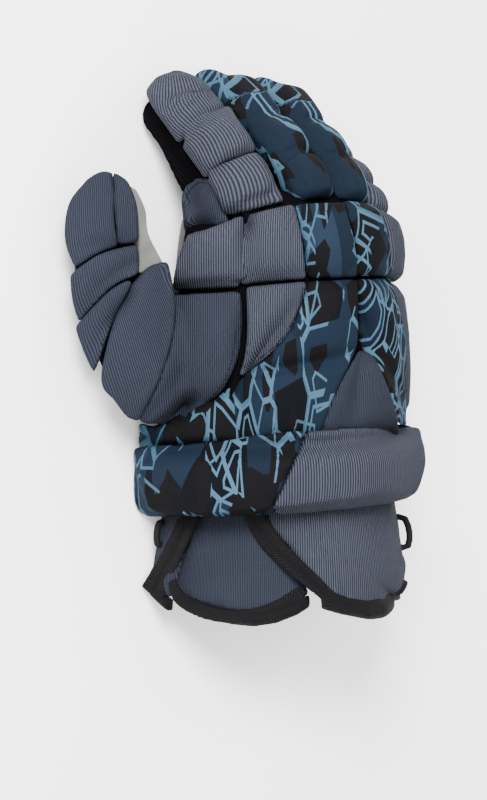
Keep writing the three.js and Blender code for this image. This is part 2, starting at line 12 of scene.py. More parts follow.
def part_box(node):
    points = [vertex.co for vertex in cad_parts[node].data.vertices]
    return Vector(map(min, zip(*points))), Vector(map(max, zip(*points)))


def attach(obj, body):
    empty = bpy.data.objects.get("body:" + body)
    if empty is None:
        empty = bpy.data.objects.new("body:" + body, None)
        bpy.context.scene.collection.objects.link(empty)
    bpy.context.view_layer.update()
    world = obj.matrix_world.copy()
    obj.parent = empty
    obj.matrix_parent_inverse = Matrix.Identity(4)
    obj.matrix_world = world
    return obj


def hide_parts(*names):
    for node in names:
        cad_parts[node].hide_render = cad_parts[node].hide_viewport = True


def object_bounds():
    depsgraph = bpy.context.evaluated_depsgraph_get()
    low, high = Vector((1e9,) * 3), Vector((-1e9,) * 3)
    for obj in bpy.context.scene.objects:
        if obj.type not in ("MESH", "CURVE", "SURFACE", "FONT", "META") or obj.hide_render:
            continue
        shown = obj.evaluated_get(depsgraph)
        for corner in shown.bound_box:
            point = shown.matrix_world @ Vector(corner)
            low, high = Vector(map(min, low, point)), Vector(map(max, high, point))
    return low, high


bl_info = {
    "name": "Lacrosse glove",
    "version": (1, 0, 0),
    "blender": (4, 5, 0),
    "location": "View3D > Sidebar > Glove",
    "description": "Builds the soft pieces of a padded lacrosse glove round its solid frame",
    "category": "Object",
}

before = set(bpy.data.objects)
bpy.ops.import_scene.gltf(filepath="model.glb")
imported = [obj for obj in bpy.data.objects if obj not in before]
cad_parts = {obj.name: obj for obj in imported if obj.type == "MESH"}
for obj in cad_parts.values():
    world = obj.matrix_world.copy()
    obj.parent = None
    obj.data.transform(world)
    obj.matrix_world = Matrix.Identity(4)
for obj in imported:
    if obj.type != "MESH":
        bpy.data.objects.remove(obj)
CAD_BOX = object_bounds()

MM = 0.001
WELD = 0.01 * MM
QUAD_BEND = math.radians(35)
QUAD_SKEW = math.radians(60)

# Photograph and camera
PHOTO_WIDTH = 487
PHOTO_HEIGHT = 800
PIXEL = 0.575 * MM
CAMERA_TILT = math.radians(40)
CAMERA_DISTANCE = 2.0
CAMERA_TARGET = Vector((-0.0094, -0.0306, 0.0388))
CAMERA_RIGHT = Vector((math.cos(CAMERA_TILT), 0, math.sin(CAMERA_TILT)))
CAMERA_UP = Vector((0, 1, 0))
CAMERA_BACK = Vector((-math.sin(CAMERA_TILT), 0, math.cos(CAMERA_TILT)))
SENSOR = 36.0

# Meshes of the soft pieces
PAD_VOXEL = 1.6 * MM
WIDE_VOXEL = 1.9 * MM
SHELL_VOXEL = 1.9 * MM
TAPE_VOXEL = 1.1 * MM
SUEDE_VOXEL = 1.0 * MM
LACE_VOXEL = 0.5 * MM
PAD_ROUNDS = 3
TAPE_ROUNDS = 2
SHELL_ROUNDS = 6
FINGER_GROW = 0.9 * MM
HAND_GROW = 0.6 * MM
BAND_GROW = 0.8 * MM
FLAP_GROW = 0.8 * MM
TAPE_GROW = 0.4 * MM
EDGE_GROW = 0.3 * MM
LACE_GROW = 0.7 * MM
THUMB_DRAW = 4.0 * MM

# Bodies that fill an outline in the photograph: grid in pixels, smoothing, lift and thickness
PATCH_SPACING = 2.5
LEAST_CELLS = 6
FILL_ROUNDS = 60
PATCH_ROUNDS = 20
PATCH_LIFT = 0.5 * MM
BAND_LIFT = 7 * MM
TAPE_LIFT = 1.6 * MM
GUSSET_LIFT = 0.3 * MM
SUEDE_LIFT = 2.6 * MM
PATCH_THICKNESS = 8 * MM
TAPE_THICKNESS = 2.5 * MM
GUSSET_THICKNESS = 4 * MM
SUEDE_THICKNESS = 3.5 * MM

# Radii that the places on a cloth are measured on
FINGER_RADIUS = 17 * MM
THUMB_RADIUS = 22 * MM
KNIT_RADIUS = 14 * MM
TAPE_RADIUS = 6 * MM
TAB_RADIUS = 4 * MM
LACE_RADIUS = 2 * MM
FLAT_RADIUS = 400 * MM

# Foam under the cloth
CLOTH_FRAMES = 12
BASE_FADE = 3.0 * MM
BASE_HELD = 0.3
FOAM_CLOTH = {
    "quality": 4,
    "mass": 0.2,
    "tension_stiffness": 12,
    "compression_stiffness": 12,
    "shear_stiffness": 4,
    "bending_stiffness": 0.4,
    "use_pressure": True,
    "uniform_pressure_force": 4.0,
}
FLAP_SWELL_SHARE = 0.5

# Least flat width given for a sheet of suede
LEAST_SHEET_WIDTH = 11 * MM

PLACE = "cloth_place"
FINGERS = ("index", "middle", "ring", "pinky")
NEARLY_ZERO = 1e-9


def in_span(low, high, share):
    """The value at a share of a span."""
    return low + (high - low) * share


def node_centre(node):
    """The middle of a CAD node's box."""
    low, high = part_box(node)
    return (Vector(low) + Vector(high)) / 2


# The arch of the cuff stands on the floor, so its axis runs along Y at floor level
CUFF_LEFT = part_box("band_print")[0][0]
CUFF_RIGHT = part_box("band_grey")[1][0]
CUFF_X = (CUFF_LEFT + CUFF_RIGHT) / 2
CUFF_RADIUS = CUFF_RIGHT - CUFF_X

# The hand's axis lies a little below the middle of its shell
HAND_AXIS_SHARE = 0.8
HAND_X = node_centre("hand_shell").x
HAND_Z = node_centre("hand_shell").z * HAND_AXIS_SHARE
HAND_RADIUS = (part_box("hand_shell")[1][0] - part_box("hand_shell")[0][0]) / 2


def length_setting(name, description, default, low, high):
    """A length that a maker of the glove can set, in metres."""
    return bpy.props.FloatProperty(
        name=name, description=description, default=default, min=low, max=high,
        unit="LENGTH", precision=5,
    )


def colour_setting(name, description, default):
    """A colour that a maker of the glove can set."""
    return bpy.props.FloatVectorProperty(
        name=name, description=description, default=default, min=0, max=1, size=3, subtype="COLOR",
    )


class GloveSizes(bpy.types.PropertyGroup):
    """Sizes that a maker of the glove would change"""

    rib_pitch: length_setting(
        "Rib pitch", "Distance between two ribs of the knit", 1.25 * MM, 0.5 * MM, 4 * MM)
    pad_swell: length_setting(
        "Pad swell", "How far the foam may push the cloth out", 1.5 * MM, 0, 5 * MM)
    stitch_length: length_setting(
        "Stitch length", "Length of one stitch along a seam", 1.7 * MM, 1 * MM, 6 * MM)
    print_scale: length_setting(
        "Print cell", "Width of one shard of the printed pattern", 17 * MM, 5 * MM, 60 * MM)


class GloveColours(bpy.types.PropertyGroup):
    """Colours of the cloths"""

    grey: colour_setting("Grey knit", "Colour of the grey ribbed knit", (0.0215, 0.0238, 0.0330))
    deep_grey: colour_setting(
        "Deep grey knit", "Colour of the darker grey knit", (0.0124, 0.0145, 0.0218))
    navy: colour_setting("Print ground", "Navy ground of the printed cloth", (0.0036, 0.0076, 0.0145))
    steel: colour_setting(
        "Print line", "Light blue lines of the printed cloth", (0.030, 0.066, 0.100))
    suede: colour_setting("Suede", "Colour of the suede palm", (0.075, 0.075, 0.070))


# Meshes

def new_object(name, mesh):
    """An object for a mesh, at the origin."""
    piece = bpy.data.objects.new(name, mesh)
    bpy.context.scene.collection.objects.link(piece)
    return piece


def merged_mesh(nodes, name):
    """A welded copy of CAD nodes as one mesh, with quads where they fit."""
    work = bmesh.new()
    for node in nodes:
        work.from_mesh(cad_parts[node].data)
    bmesh.ops.remove_doubles(work, verts=work.verts, dist=WELD)
    bmesh.ops.join_triangles(
        work, faces=work.faces, cmp_seam=False, cmp_sharp=False, cmp_uvs=False,
        angle_face_threshold=QUAD_BEND, angle_shape_threshold=QUAD_SKEW,
    )
    mesh = bpy.data.meshes.new(name)
    work.to_mesh(mesh)
    work.free()
    mesh.materials.clear()
    return mesh


def merged_copy(nodes, name):
    """The same copy as an object of its own."""
    return new_object(name, merged_mesh(nodes, name))


def apply_modifiers(piece):
    """Makes what the modifiers show the piece's own mesh."""
    shown = piece.evaluated_get(bpy.context.evaluated_depsgraph_get())
    mesh = bpy.data.meshes.new_from_object(shown)
    old = piece.data
    piece.modifiers.clear()
    piece.data = mesh
    bpy.data.meshes.remove(old)


def subdivide(piece, levels, apply=False):
    """Adds a subdivision surface, kept live unless it is applied."""
    surface = piece.modifiers.new("Rounded", "SUBSURF")
    surface.levels = levels
    surface.render_levels = levels
    if apply:
        apply_modifiers(piece)


def remesh(piece, voxel):
    """Gives the piece one even skin."""
    skin = piece.modifiers.new("Skin", "REMESH")
    skin.mode = "VOXEL"
    skin.voxel_size = voxel
    skin.adaptivity = 0
    apply_modifiers(piece)


def coordinates(mesh):
    """The vertices of a mesh as an array."""
    values = np.empty(len(mesh.vertices) * 3)
    mesh.vertices.foreach_get("co", values)
    return values.reshape(-1, 3)


def set_coordinates(mesh, points):
    """Moves the vertices of a mesh to an array of places."""
    mesh.vertices.foreach_set("co", points.reshape(-1))
    mesh.update()


def vertex_normals(mesh):
    """The normals at the vertices of a mesh as an array."""
    values = np.empty(len(mesh.vertices) * 3)
    mesh.vertex_normals.foreach_get("vector", values)
    return values.reshape(-1, 3)


def smooth(piece, rounds, grow=0.0):
    """Relaxes the vertices and then moves them out along their normals."""
    work = bmesh.new()
    work.from_mesh(piece.data)
    for _ in range(rounds):
        bmesh.ops.smooth_vert(
            work, verts=work.verts, factor=0.5,
            use_axis_x=True, use_axis_y=True, use_axis_z=True,
        )
    work.to_mesh(piece.data)
    work.free()
    piece.data.update()
    if grow:
        set_coordinates(piece.data, coordinates(piece.data) + grow * vertex_normals(piece.data))


def distance_to(trees, points):
    """The distance from each point to the nearest of several surfaces."""
    return np.array([min(tree.find_nearest(Vector(p))[3] for tree in trees) for p in points])


def node_tree(node):
    """A search tree of a CAD node's surface."""
    work = bmesh.new()
    work.from_mesh(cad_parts[node].data)
    tree = BVHTree.FromBMesh(work)
    work.free()
    return tree


def round_corner(piece, corner):
    """Bends the square lower corner of a flap, as the camera sees it, into a round one."""
    points = coordinates(piece.data)
    eye = np.array(CAMERA_TARGET + CAMERA_DISTANCE * CAMERA_BACK)
    away = points - eye
    depth = -(away @ np.array(CAMERA_BACK)) / CAMERA_DISTANCE
    across = (away @ np.array(CAMERA_RIGHT)) / (depth * PIXEL) + PHOTO_WIDTH / 2 - corner["centre"][0]
    down = PHOTO_HEIGHT / 2 - (away @ np.array(CAMERA_UP)) / (depth * PIXEL) - corner["centre"][1]
    x, y = across / corner["reach"][0], down / corner["reach"][1]
    inside = (x > 0) & (y > 0)
    ratio = np.where(inside, np.maximum(x, y) / np.maximum(np.hypot(x, y), NEARLY_ZERO), 1)
    shift = (ratio - 1) * depth * PIXEL
    move = (shift * across)[:, None] * np.array(CAMERA_RIGHT) - (shift * down)[:, None] * np.array(CAMERA_UP)
    set_coordinates(piece.data, points + move)


def swell(pieces, carriers, limit):
    """Blows the pieces up as cloth over foam, held where they sit on their carriers."""
    work = bmesh.new()
    for piece in pieces:
        work.from_mesh(piece.data)
    mesh = bpy.data.meshes.new("foam")
    work.to_mesh(mesh)
    work.free()
    foam = new_object("foam", mesh)
    start = coordinates(mesh)
    modifier = foam.modifiers.new("Cloth", "CLOTH")
    for key, value in FOAM_CLOTH.items():
        setattr(modifier.settings, key, value)
    modifier.settings.effector_weights.gravity = 0
    modifier.point_cache.frame_start = 1
    modifier.point_cache.frame_end = CLOTH_FRAMES
    scene = bpy.context.scene
    for number in range(1, CLOTH_FRAMES + 1):
        scene.frame_set(number)
    apply_modifiers(foam)
    moved = coordinates(foam.data) - start
    length = np.maximum(np.linalg.norm(moved, axis=1), NEARLY_ZERO)
    moved *= np.minimum(1, limit / length)[:, None]
    trees = [node_tree(node) for node in carriers]
    moved *= np.clip(distance_to(trees, start) / BASE_FADE - BASE_HELD, 0, 1)[:, None]
    scene.frame_set(1)
    first = 0
    for piece in pieces:
        last = first + len(piece.data.vertices)
        set_coordinates(piece.data, start[first:last] + moved[first:last])
        first = last
    bpy.data.objects.remove(foam)


def draw_in(piece, line, amount):
    """Pulls a piece in towards the middle line of its limb."""
    points = coordinates(piece.data)
    starts, steps = line[:-1], np.diff(line, axis=0)
    best = np.full(len(points), np.inf)
    pull = np.zeros_like(points)
    for start, step in zip(starts, steps):
        share = np.clip((points - start) @ step / (step @ step), 0, 1)
        away = points - start - share[:, None] * step
        distance = np.linalg.norm(away, axis=1)
        nearer = distance < best
        pull[nearer] = (away / np.maximum(distance, NEARLY_ZERO)[:, None])[nearer]
        best = np.where(nearer, distance, best)
    set_coordinates(piece.data, points - amount * pull)


# Places on the cloth

def limb_line(node, steps=40, margin=0.06, reach_share=1 / 7):
    """The middle line of a finger or the thumb, from its base to its tip."""
    points = coordinates(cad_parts[node].data)
    low, high = points[:, 1].min(), points[:, 1].max()
    reach = (high - low) * reach_share
    line = []
    for share in np.linspace(margin, 1 - margin, steps):
        level = in_span(low, high, share)
        weight = np.exp(-(((points[:, 1] - level) / reach) ** 2))
        middle = (points * weight[:, None]).sum(axis=0) / weight.sum()
        line.append((middle[0], level, middle[2]))
    return np.array(line)


def straight_line(x, z):
    """A line along Y above a place on the floor."""
    levels = np.linspace(CAD_BOX[0][1], CAD_BOX[1][1], 3)
    return np.array([(x, level, z) for level in levels])


def set_place(piece, line, radius):
    """Stores where each vertex is on the cloth: round the line, along it, and away from it."""
    points = coordinates(piece.data)
    steps = np.diff(line, axis=0)
    lengths = np.linalg.norm(steps, axis=1)
    starts = np.concatenate([[0], np.cumsum(lengths)])
    best = np.full(len(points), np.inf)
    place = np.zeros_like(points)
    for index, (origin, step, length) in enumerate(zip(line[:-1], steps, lengths)):
        ahead = step / length
        offset = points - origin
        along = offset @ ahead
        inside = np.clip(along, 0, length)
        away = offset - inside[:, None] * ahead
        distance = np.linalg.norm(away, axis=1)
        up = np.array([0, 0, 1.0]) - ahead[2] * ahead
        up /= np.linalg.norm(up)
        side = np.cross(ahead, up)
        angle = np.arctan2(away @ side, away @ up)
        nearer = distance < best
        lowest = -np.inf if index == 0 else 0
        highest = np.inf if index == len(steps) - 1 else length
        reach = np.clip(along, lowest, highest)
        place[nearer, 0] = (radius * angle)[nearer]
        place[nearer, 1] = (starts[index] + reach)[nearer]
        place[nearer, 2] = distance[nearer]
        best = np.where(nearer, distance, best)
    layer = piece.data.attributes.new(PLACE, "FLOAT_VECTOR", "POINT")
    layer.data.foreach_set("vector", place.reshape(-1))


def strip_line(piece, steps=24, overlap=1.5):
    """The middle line of a long strip, from one end to the other."""
    points = coordinates(piece.data)
    centred = points - points.mean(axis=0)
    axis = np.linalg.svd(centred, full_matrices=False)[2][0]
    along = centred @ axis
    low, high = along.min(), along.max()
    reach = (high - low) / steps * overlap
    line = []
    for level in np.linspace(low, high, steps):
        weight = np.exp(-(((along - level) / reach) ** 2))
        line.append((points * weight[:, None]).sum(axis=0) / weight.sum())
    return np.array(line)


# Materials

class NodeBench:
    """Short calls that add shader nodes to one tree and link them."""

    def __init__(self, tree):
        self.tree = tree

    def add(self, kind, inputs=None, **settings):
        """A node with its settings and its inputs, which may be values or sockets."""
        node = self.tree.nodes.new(kind)
        for key, value in settings.items():
            setattr(node, key, value)
        for key, value in (inputs or {}).items():
            self.feed(node.inputs[key], value)
        return node

    def feed(self, socket, value):
        """Links a socket, or sets a plain value."""
        if isinstance(value, bpy.types.NodeSocket):
            self.tree.links.new(value, socket)
        else:
            socket.default_value = value

    def math(self, operation, first, second=0.0, third=0.0):
        """One step of arithmetic."""
        node = self.add("ShaderNodeMath", {0: first, 1: second, 2: third}, operation=operation)
        return node.outputs[0]

    def wave(self, turns):
        """A sine that runs from 0 to 1 once for each turn."""
        sine = self.math("SINE", self.math("MULTIPLY", turns, math.tau))
        return self.math("MULTIPLY_ADD", sine, 0.5, 0.5)

    def ramp(self, factor, stops, interpolation="LINEAR"):
        """A colour for each value of a mask, through stops of position and colour."""
        node = self.add("ShaderNodeValToRGB", {"Fac": factor})
        node.color_ramp.interpolation = interpolation
        elements = node.color_ramp.elements
        while len(elements) < len(stops):
            elements.new(0.5)
        for element, (position, shade) in zip(elements, stops):
            element.position = position
            element.color = (*shade, 1)
        return node.outputs["Color"]

    def mix(self, factor, first, second, blend="MIX"):
        """Two colours mixed."""
        node = self.add(
            "ShaderNodeMix", {0: factor, 6: first, 7: second}, data_type="RGBA", blend_type=blend
        )
        return node.outputs[2]

    def noise(self, vector, scale, detail=2.0, roughness=0.5):
        """A soft noise between 0 and 1."""
        node = self.add(
            "ShaderNodeTexNoise",
            {"Vector": vector, "Scale": scale, "Detail": detail, "Roughness": roughness},
        )
        return node.outputs["Fac"]


def colour(values, factor=1.0):
    """Four channels from three, made lighter or darker."""
    return tuple(min(1.0, value * factor) for value in values) + (1.0,)


def effect_group(name, inputs, outputs):
    """An empty node group with named sockets, and a bench to fill it."""
    tree = bpy.data.node_groups.new(name, "ShaderNodeTree")
    for title, kind, default in inputs:
        socket = tree.interface.new_socket(title, in_out="INPUT", socket_type=kind)
        if default is not None:
            socket.default_value = default
    for title, kind in outputs:
        tree.interface.new_socket(title, in_out="OUTPUT", socket_type=kind)
    bench = NodeBench(tree)
    entry = bench.add("NodeGroupInput").outputs
    exit_node = bench.add("NodeGroupOutput").inputs
    return tree, bench, entry, exit_node


# Knit: how the ribs drift, how many loops a rib's width holds, and how they stand out
RIB_DRIFT_SCALE = 90.0
RIB_DRIFT = 0.12
LOOPS_PER_RIB = 1.3
LOOP_HEIGHT = 0.10
RIDGE_ROUNDNESS = 0.7


def rib_group():
    """Ribs of a knit: a height and a mask of the ridges, from places on the cloth."""
    tree, bench, entry, out = effect_group(
        "Knit ribs",
        [("Place", "NodeSocketVector", None), ("Pitch", "NodeSocketFloat", MM)],
        [("Height", "NodeSocketFloat"), ("Ridge", "NodeSocketFloat")],
    )
    parts = bench.add("ShaderNodeSeparateXYZ", {0: entry["Place"]}).outputs
    turns = bench.math("DIVIDE", parts["X"], entry["Pitch"])
    drift = bench.noise(entry["Place"], scale=RIB_DRIFT_SCALE)
    shifted = bench.math("MULTIPLY_ADD", drift, RIB_DRIFT, turns)
    ridge = bench.wave(shifted)
    knots = bench.math("DIVIDE", parts["Y"], entry["Pitch"])
    loops = bench.math("SINE", bench.math("MULTIPLY", knots, math.tau * LOOPS_PER_RIB))
    rounded = bench.math("POWER", ridge, RIDGE_ROUNDNESS)
    height = bench.math("MULTIPLY_ADD", loops, LOOP_HEIGHT, rounded)
    bench.feed(out["Height"], height)
    bench.feed(out["Ridge"], ridge)
    return tree


# Tone: scales of its two noises, their shares, and the value that leaves a colour as it is
BROAD_SCALE = 28.0
BROAD_SHARE = 0.8
FINE_SCALE = 900.0
FINE_SHARE = 0.45
TONE_MIDDLE = 0.62


def soil_group():
    """Slow changes of tone over a cloth, and worn lighter places."""
    tree, bench, entry, out = effect_group(
        "Cloth tone",
        [("Vector", "NodeSocketVector", None), ("Strength", "NodeSocketFloat", 0.2)],
        [("Tone", "NodeSocketFloat")],
    )
    broad = bench.noise(entry["Vector"], scale=BROAD_SCALE, detail=3.0)
    fine = bench.noise(entry["Vector"], scale=FINE_SCALE)
    both = bench.math("MULTIPLY_ADD", fine, FINE_SHARE, bench.math("MULTIPLY", broad, BROAD_SHARE))
    centred = bench.math("SUBTRACT", both, TONE_MIDDLE)
    tone = bench.math("MULTIPLY_ADD", centred, entry["Strength"], 1.0)
    bench.feed(out["Tone"], tone)
    return tree


# Print: its turn and stretch on the cloth, its shades as shares of the ground, then the cells and
# chances of its black shards and of the breaks in its lines
PRINT_TURN = 0.62
PRINT_STRETCH = 0.5
PRINT_SHADES = [
    (0.0, (0.28, 0.20, 0.17)),
    (0.22, (0.75, 0.75, 0.75)),
    (0.48, (1.0, 1.0, 1.0)),
    (0.76, (1.6, 1.5, 1.45)),
]
LEAST_LINE = 0.6
BLACK_CELLS = 1.9
BLACK_CHANCE = 0.60
PRINT_BLACK = (0.0020, 0.0018, 0.0023, 1)
BREAK_CELLS = 1.3
BREAK_CHANCE = 0.25


def shard_group():
    """A plain angular print: shards in a few shades, with broken lines between some of them."""
    tree, bench, entry, out = effect_group(
        "Shard print",
        [("Vector", "NodeSocketVector", None), ("Cell", "NodeSocketFloat", MM),
         ("Ground", "NodeSocketColor", None), ("Line", "NodeSocketColor", None)],
        [("Color", "NodeSocketColor"), ("Line", "NodeSocketFloat")],
    )
    density = bench.math("DIVIDE", 1.0, entry["Cell"])
    turned = bench.add(
        "ShaderNodeMapping",
        {"Vector": entry["Vector"], "Rotation": (0, 0, PRINT_TURN), "Scale": (1.0, PRINT_STRETCH, 1.0)},
    ).outputs[0]

    def cells(scale_by, feature):
        """Cells in the plane of the cloth."""
        return bench.add(
            "ShaderNodeTexVoronoi",
            {"Vector": turned, "Scale": bench.math("MULTIPLY", density, scale_by), "Randomness": 1.0},
            feature=feature, voronoi_dimensions="2D",
        ).outputs

    def channels(shade):
        """The random numbers that a cell's colour holds."""
        return bench.add("ShaderNodeSeparateColor", {0: shade}).outputs

    def outline(scale_by, inner, outer, channel, chance):
        """A straight line inside the edge of some shards."""
        edge = cells(scale_by, "DISTANCE_TO_EDGE")["Distance"]
        drawn = bench.math("MULTIPLY", bench.math("GREATER_THAN", edge, inner),
                           bench.math("LESS_THAN", edge, outer))
        kind = channels(cells(scale_by, "F1")["Color"])[channel]
        return bench.math("MULTIPLY", drawn, bench.math("GREATER_THAN", kind, chance))

    patch = channels(cells(1.0, "F1")["Color"])
    ground = bench.mix(1.0, entry["Ground"], bench.ramp(patch[0], PRINT_SHADES, "CONSTANT"), "MULTIPLY")
    black = bench.math("GREATER_THAN", channels(cells(BLACK_CELLS, "F1")["Color"])[1], BLACK_CHANCE)
    ground = bench.mix(black, ground, PRINT_BLACK)
    wide = outline(scale_by=1.0, inner=0.0, outer=0.062, channel=2, chance=0.22)
    inset = outline(scale_by=1.0, inner=0.17, outer=0.23, channel=1, chance=0.55)
    small = outline(scale_by=1.6, inner=0.0, outer=0.085, channel=0, chance=0.60)
    broken = bench.math("GREATER_THAN", channels(cells(BREAK_CELLS, "F1")["Color"])[2], BREAK_CHANCE)
    both = bench.math("MAXIMUM", bench.math("MAXIMUM", wide, inset), small)
    line = bench.math("MULTIPLY", both, broken)
    fade = bench.math("MULTIPLY_ADD", patch[1], 1 - LEAST_LINE, LEAST_LINE)
    line = bench.math("MULTIPLY", line, fade)
    bench.feed(out["Color"], bench.mix(line, ground, entry["Line"]))
    bench.feed(out["Line"], line)
    return tree


# Tape: pitch and slant of its ribs, then the pitch and the height of the cross threads as shares of a rib's
TWILL_PITCH = 1.5 * MM
TWILL_SLANT = 0.55
WEFT_PITCH = 0.6
WEFT_HEIGHT = 0.2


def twill_group():
    """Slanting ribs of a woven tape."""
    tree, bench, entry, out = effect_group(
        "Tape weave",
        [("Place", "NodeSocketVector", None), ("Pitch", "NodeSocketFloat", MM)],
        [("Height", "NodeSocketFloat")],
    )
    parts = bench.add("ShaderNodeSeparateXYZ", {0: entry["Place"]}).outputs
    slant = bench.math("MULTIPLY_ADD", parts["X"], TWILL_SLANT, parts["Y"])
    ribs = bench.wave(bench.math("DIVIDE", slant, entry["Pitch"]))
    cross = bench.math("DIVIDE", parts["X"], bench.math("MULTIPLY", entry["Pitch"], WEFT_PITCH))
    weft = bench.math("SINE", bench.math("MULTIPLY", cross, math.tau))
    height = bench.math("MULTIPLY_ADD", weft, WEFT_HEIGHT, ribs)
    bench.feed(out["Height"], height)
    return tree


GROUPS = {}


def group(name):
    """A shared effect, made the first time it is asked for."""
    makers = {"ribs": rib_group, "tone": soil_group, "shards": shard_group, "twill": twill_group}
    if name not in GROUPS:
        GROUPS[name] = makers[name]()
    return GROUPS[name]


def new_material(name, roughness, sheen=0.0, specular=0.3):
    """A material with its shader's plain numbers set, and a bench to fill it."""
    material = bpy.data.materials.new(name)
    material.use_nodes = True
    shader = material.node_tree.nodes["Principled BSDF"]
    shader.inputs["Roughness"].default_value = roughness
    shader.inputs["Specular IOR Level"].default_value = specular
    shader.inputs["Sheen Weight"].default_value = sheen
    shader.inputs["Sheen Roughness"].default_value = 0.5
    return material, NodeBench(material.node_tree), shader


def add_group(bench, name, inputs):
    """Places a shared effect in a material."""
    node = bench.add("ShaderNodeGroup", node_tree=group(name))
    for key, value in inputs.items():
        bench.feed(node.inputs[key], value)
    return node.outputs


def cloth_place(bench):
    """Where the piece's own cloth coordinates are read."""
    return bench.add("ShaderNodeAttribute", attribute_name=PLACE).outputs["Vector"]


def object_place(bench):
    """Where the piece's own object coordinates are read."""
    return bench.add("ShaderNodeTexCoord").outputs["Object"]


def bump(bench, shader, height, depth, strength=1.0):
    """Links a height in shares of a depth in metres to the shader's normal."""
    node = bench.add(
        "ShaderNodeBump", {"Height": height, "Distance": depth, "Strength": strength}
    )
    bench.feed(shader.inputs["Normal"], node.outputs["Normal"])


def ribbed_material(name, roughness, specular, pitch, soil, shades, depth):
    """Ribbed knit: painted shade in the valleys and a painted highlight on the ridges along the cloth."""
    material, bench, shader = new_material(name, roughness, specular=specular)
    ribs = add_group(bench, "ribs", {"Place": cloth_place(bench), "Pitch": pitch})
    tone = add_group(bench, "tone", {"Vector": object_place(bench), "Strength": soil})
    # The ramp paints shade into the rib valleys and a highlight onto the ridges
    toned = bench.mix(1.0, bench.ramp(ribs["Ridge"], shades), tone["Tone"], "MULTIPLY")
    bench.feed(shader.inputs["Base Color"], toned)
    bump(bench, shader, ribs["Height"], depth)
    return material


def shades_of(base, *stops):
    """Stops of a ramp: a position, and how much lighter or darker than the base it is."""
    return [(position, colour(base, factor)[:3]) for position, factor in stops]


def knit_material(name, base, pitch, painted_shade_contrast, depth):
    """Grey ribbed knit of the pads, with a painted highlight on the ridges and painted shade in the valleys.
    """
    # How far the painted shade darkens the valleys and the painted highlight lightens the ridges
    shades = shades_of(base, (0.0, 1 - painted_shade_contrast), (0.55, 1.0), (1.0, 1 + 0.75 * painted_shade_contrast))
    return ribbed_material(
        name, roughness=0.85, specular=0.05, pitch=pitch, soil=0.5, shades=shades, depth=depth
    )


# Faint rib of the printed cloth: its pitch as a share of the knit's, then its two painted shades: the
# highlight that a ridge adds and the shade of a valley
PRINT_RIB_SHARE = 0.6
PRINT_RIDGE_HIGHLIGHT = 0.25
PRINT_VALLEY_SHADE = 0.87


def print_material(name, sizes, colours):
    """Smooth printed cloth with a faint fine rib, with painted shade in the rib's valleys and a painted
    highlight on its ridges.
    """
    material, bench, shader = new_material(name, roughness=0.80, specular=0.05)
    shards = add_group(bench, "shards", {
        "Vector": cloth_place(bench), "Cell": sizes.print_scale,
        "Ground": colour(colours.navy), "Line": colour(colours.steel),
    })
    pitch = PRINT_RIB_SHARE * sizes.rib_pitch
    ribs = add_group(bench, "ribs", {"Place": cloth_place(bench), "Pitch": pitch})
    tone = add_group(bench, "tone", {"Vector": object_place(bench), "Strength": 0.4})
    # Painted shade in the rib valleys and a painted highlight on the ridges, times the tone
    ridge = bench.math("MULTIPLY_ADD", ribs["Ridge"], PRINT_RIDGE_HIGHLIGHT, PRINT_VALLEY_SHADE)
    shaded = bench.mix(1.0, shards["Color"], bench.math("MULTIPLY", ridge, tone["Tone"]), "MULTIPLY")
    bench.feed(shader.inputs["Base Color"], shaded)
    bump(bench, shader, ribs["Height"], depth=0.10 * MM)
    return material


def black_knit_material(name, pitch):
    """Fine black knit of the gussets and the lining."""
    # Painted shade in the rib valleys and a painted highlight on the ridges
    shades = [(0.0, (0.0010, 0.0009, 0.0011)), (1.0, (0.0030, 0.0027, 0.0033))]
    return ribbed_material(
        name, roughness=1.0, specular=0.0, pitch=pitch, soil=0.8, shades=shades, depth=0.15 * MM
    )


def webbing_material(name):
    """Black woven tape with slanting ribs, with painted shade in the grooves and a painted highlight on the
    ribs.
    """
    material, bench, shader = new_material(name, roughness=0.70, specular=0.06)
    weave = add_group(bench, "twill", {"Place": cloth_place(bench), "Pitch": TWILL_PITCH})
    # Painted shade in the grooves of the weave and a painted highlight on its ribs
    shades = bench.ramp(
        weave["Height"], [(0.0, (0.0008, 0.0008, 0.0009)), (1.0, (0.0050, 0.0048, 0.0056))]
    )
    bench.feed(shader.inputs["Base Color"], shades)
    bump(bench, shader, weave["Height"], depth=0.35 * MM)
    return material


NAP_SHARE = 0.35


def suede_material(name, base):
    """Soft suede: a short nap that shades in blotches, with a fine grain."""
    material, bench, shader = new_material(name, roughness=0.95, sheen=0.1, specular=0.1)
    place = object_place(bench)
    blotch = bench.noise(place, scale=60.0, detail=3.0, roughness=0.6)
    nap = bench.noise(place, scale=1400.0, roughness=0.7)
    both = bench.math("MULTIPLY_ADD", nap, NAP_SHARE, bench.math("MULTIPLY", blotch, 1 - NAP_SHARE))
    shades = bench.ramp(both, shades_of(base, (0.25, 0.72), (0.5, 1.0), (0.8, 1.2)))
    bench.feed(shader.inputs["Base Color"], shades)
    bump(bench, shader, both, depth=0.6 * MM, strength=0.6)
    return material


def thread_material(name, shade):
    """Sewing thread."""
    material, bench, shader = new_material(name, roughness=0.7, specular=0.08)
    twist = bench.noise(object_place(bench), scale=2500.0, detail=1.0)
    shades = bench.ramp(twist, shades_of(shade, (0.3, 0.6), (0.7, 1.5)))
    bench.feed(shader.inputs["Base Color"], shades)
    bump(bench, shader, twist, depth=0.1 * MM)
    return material


FINISHES = {}


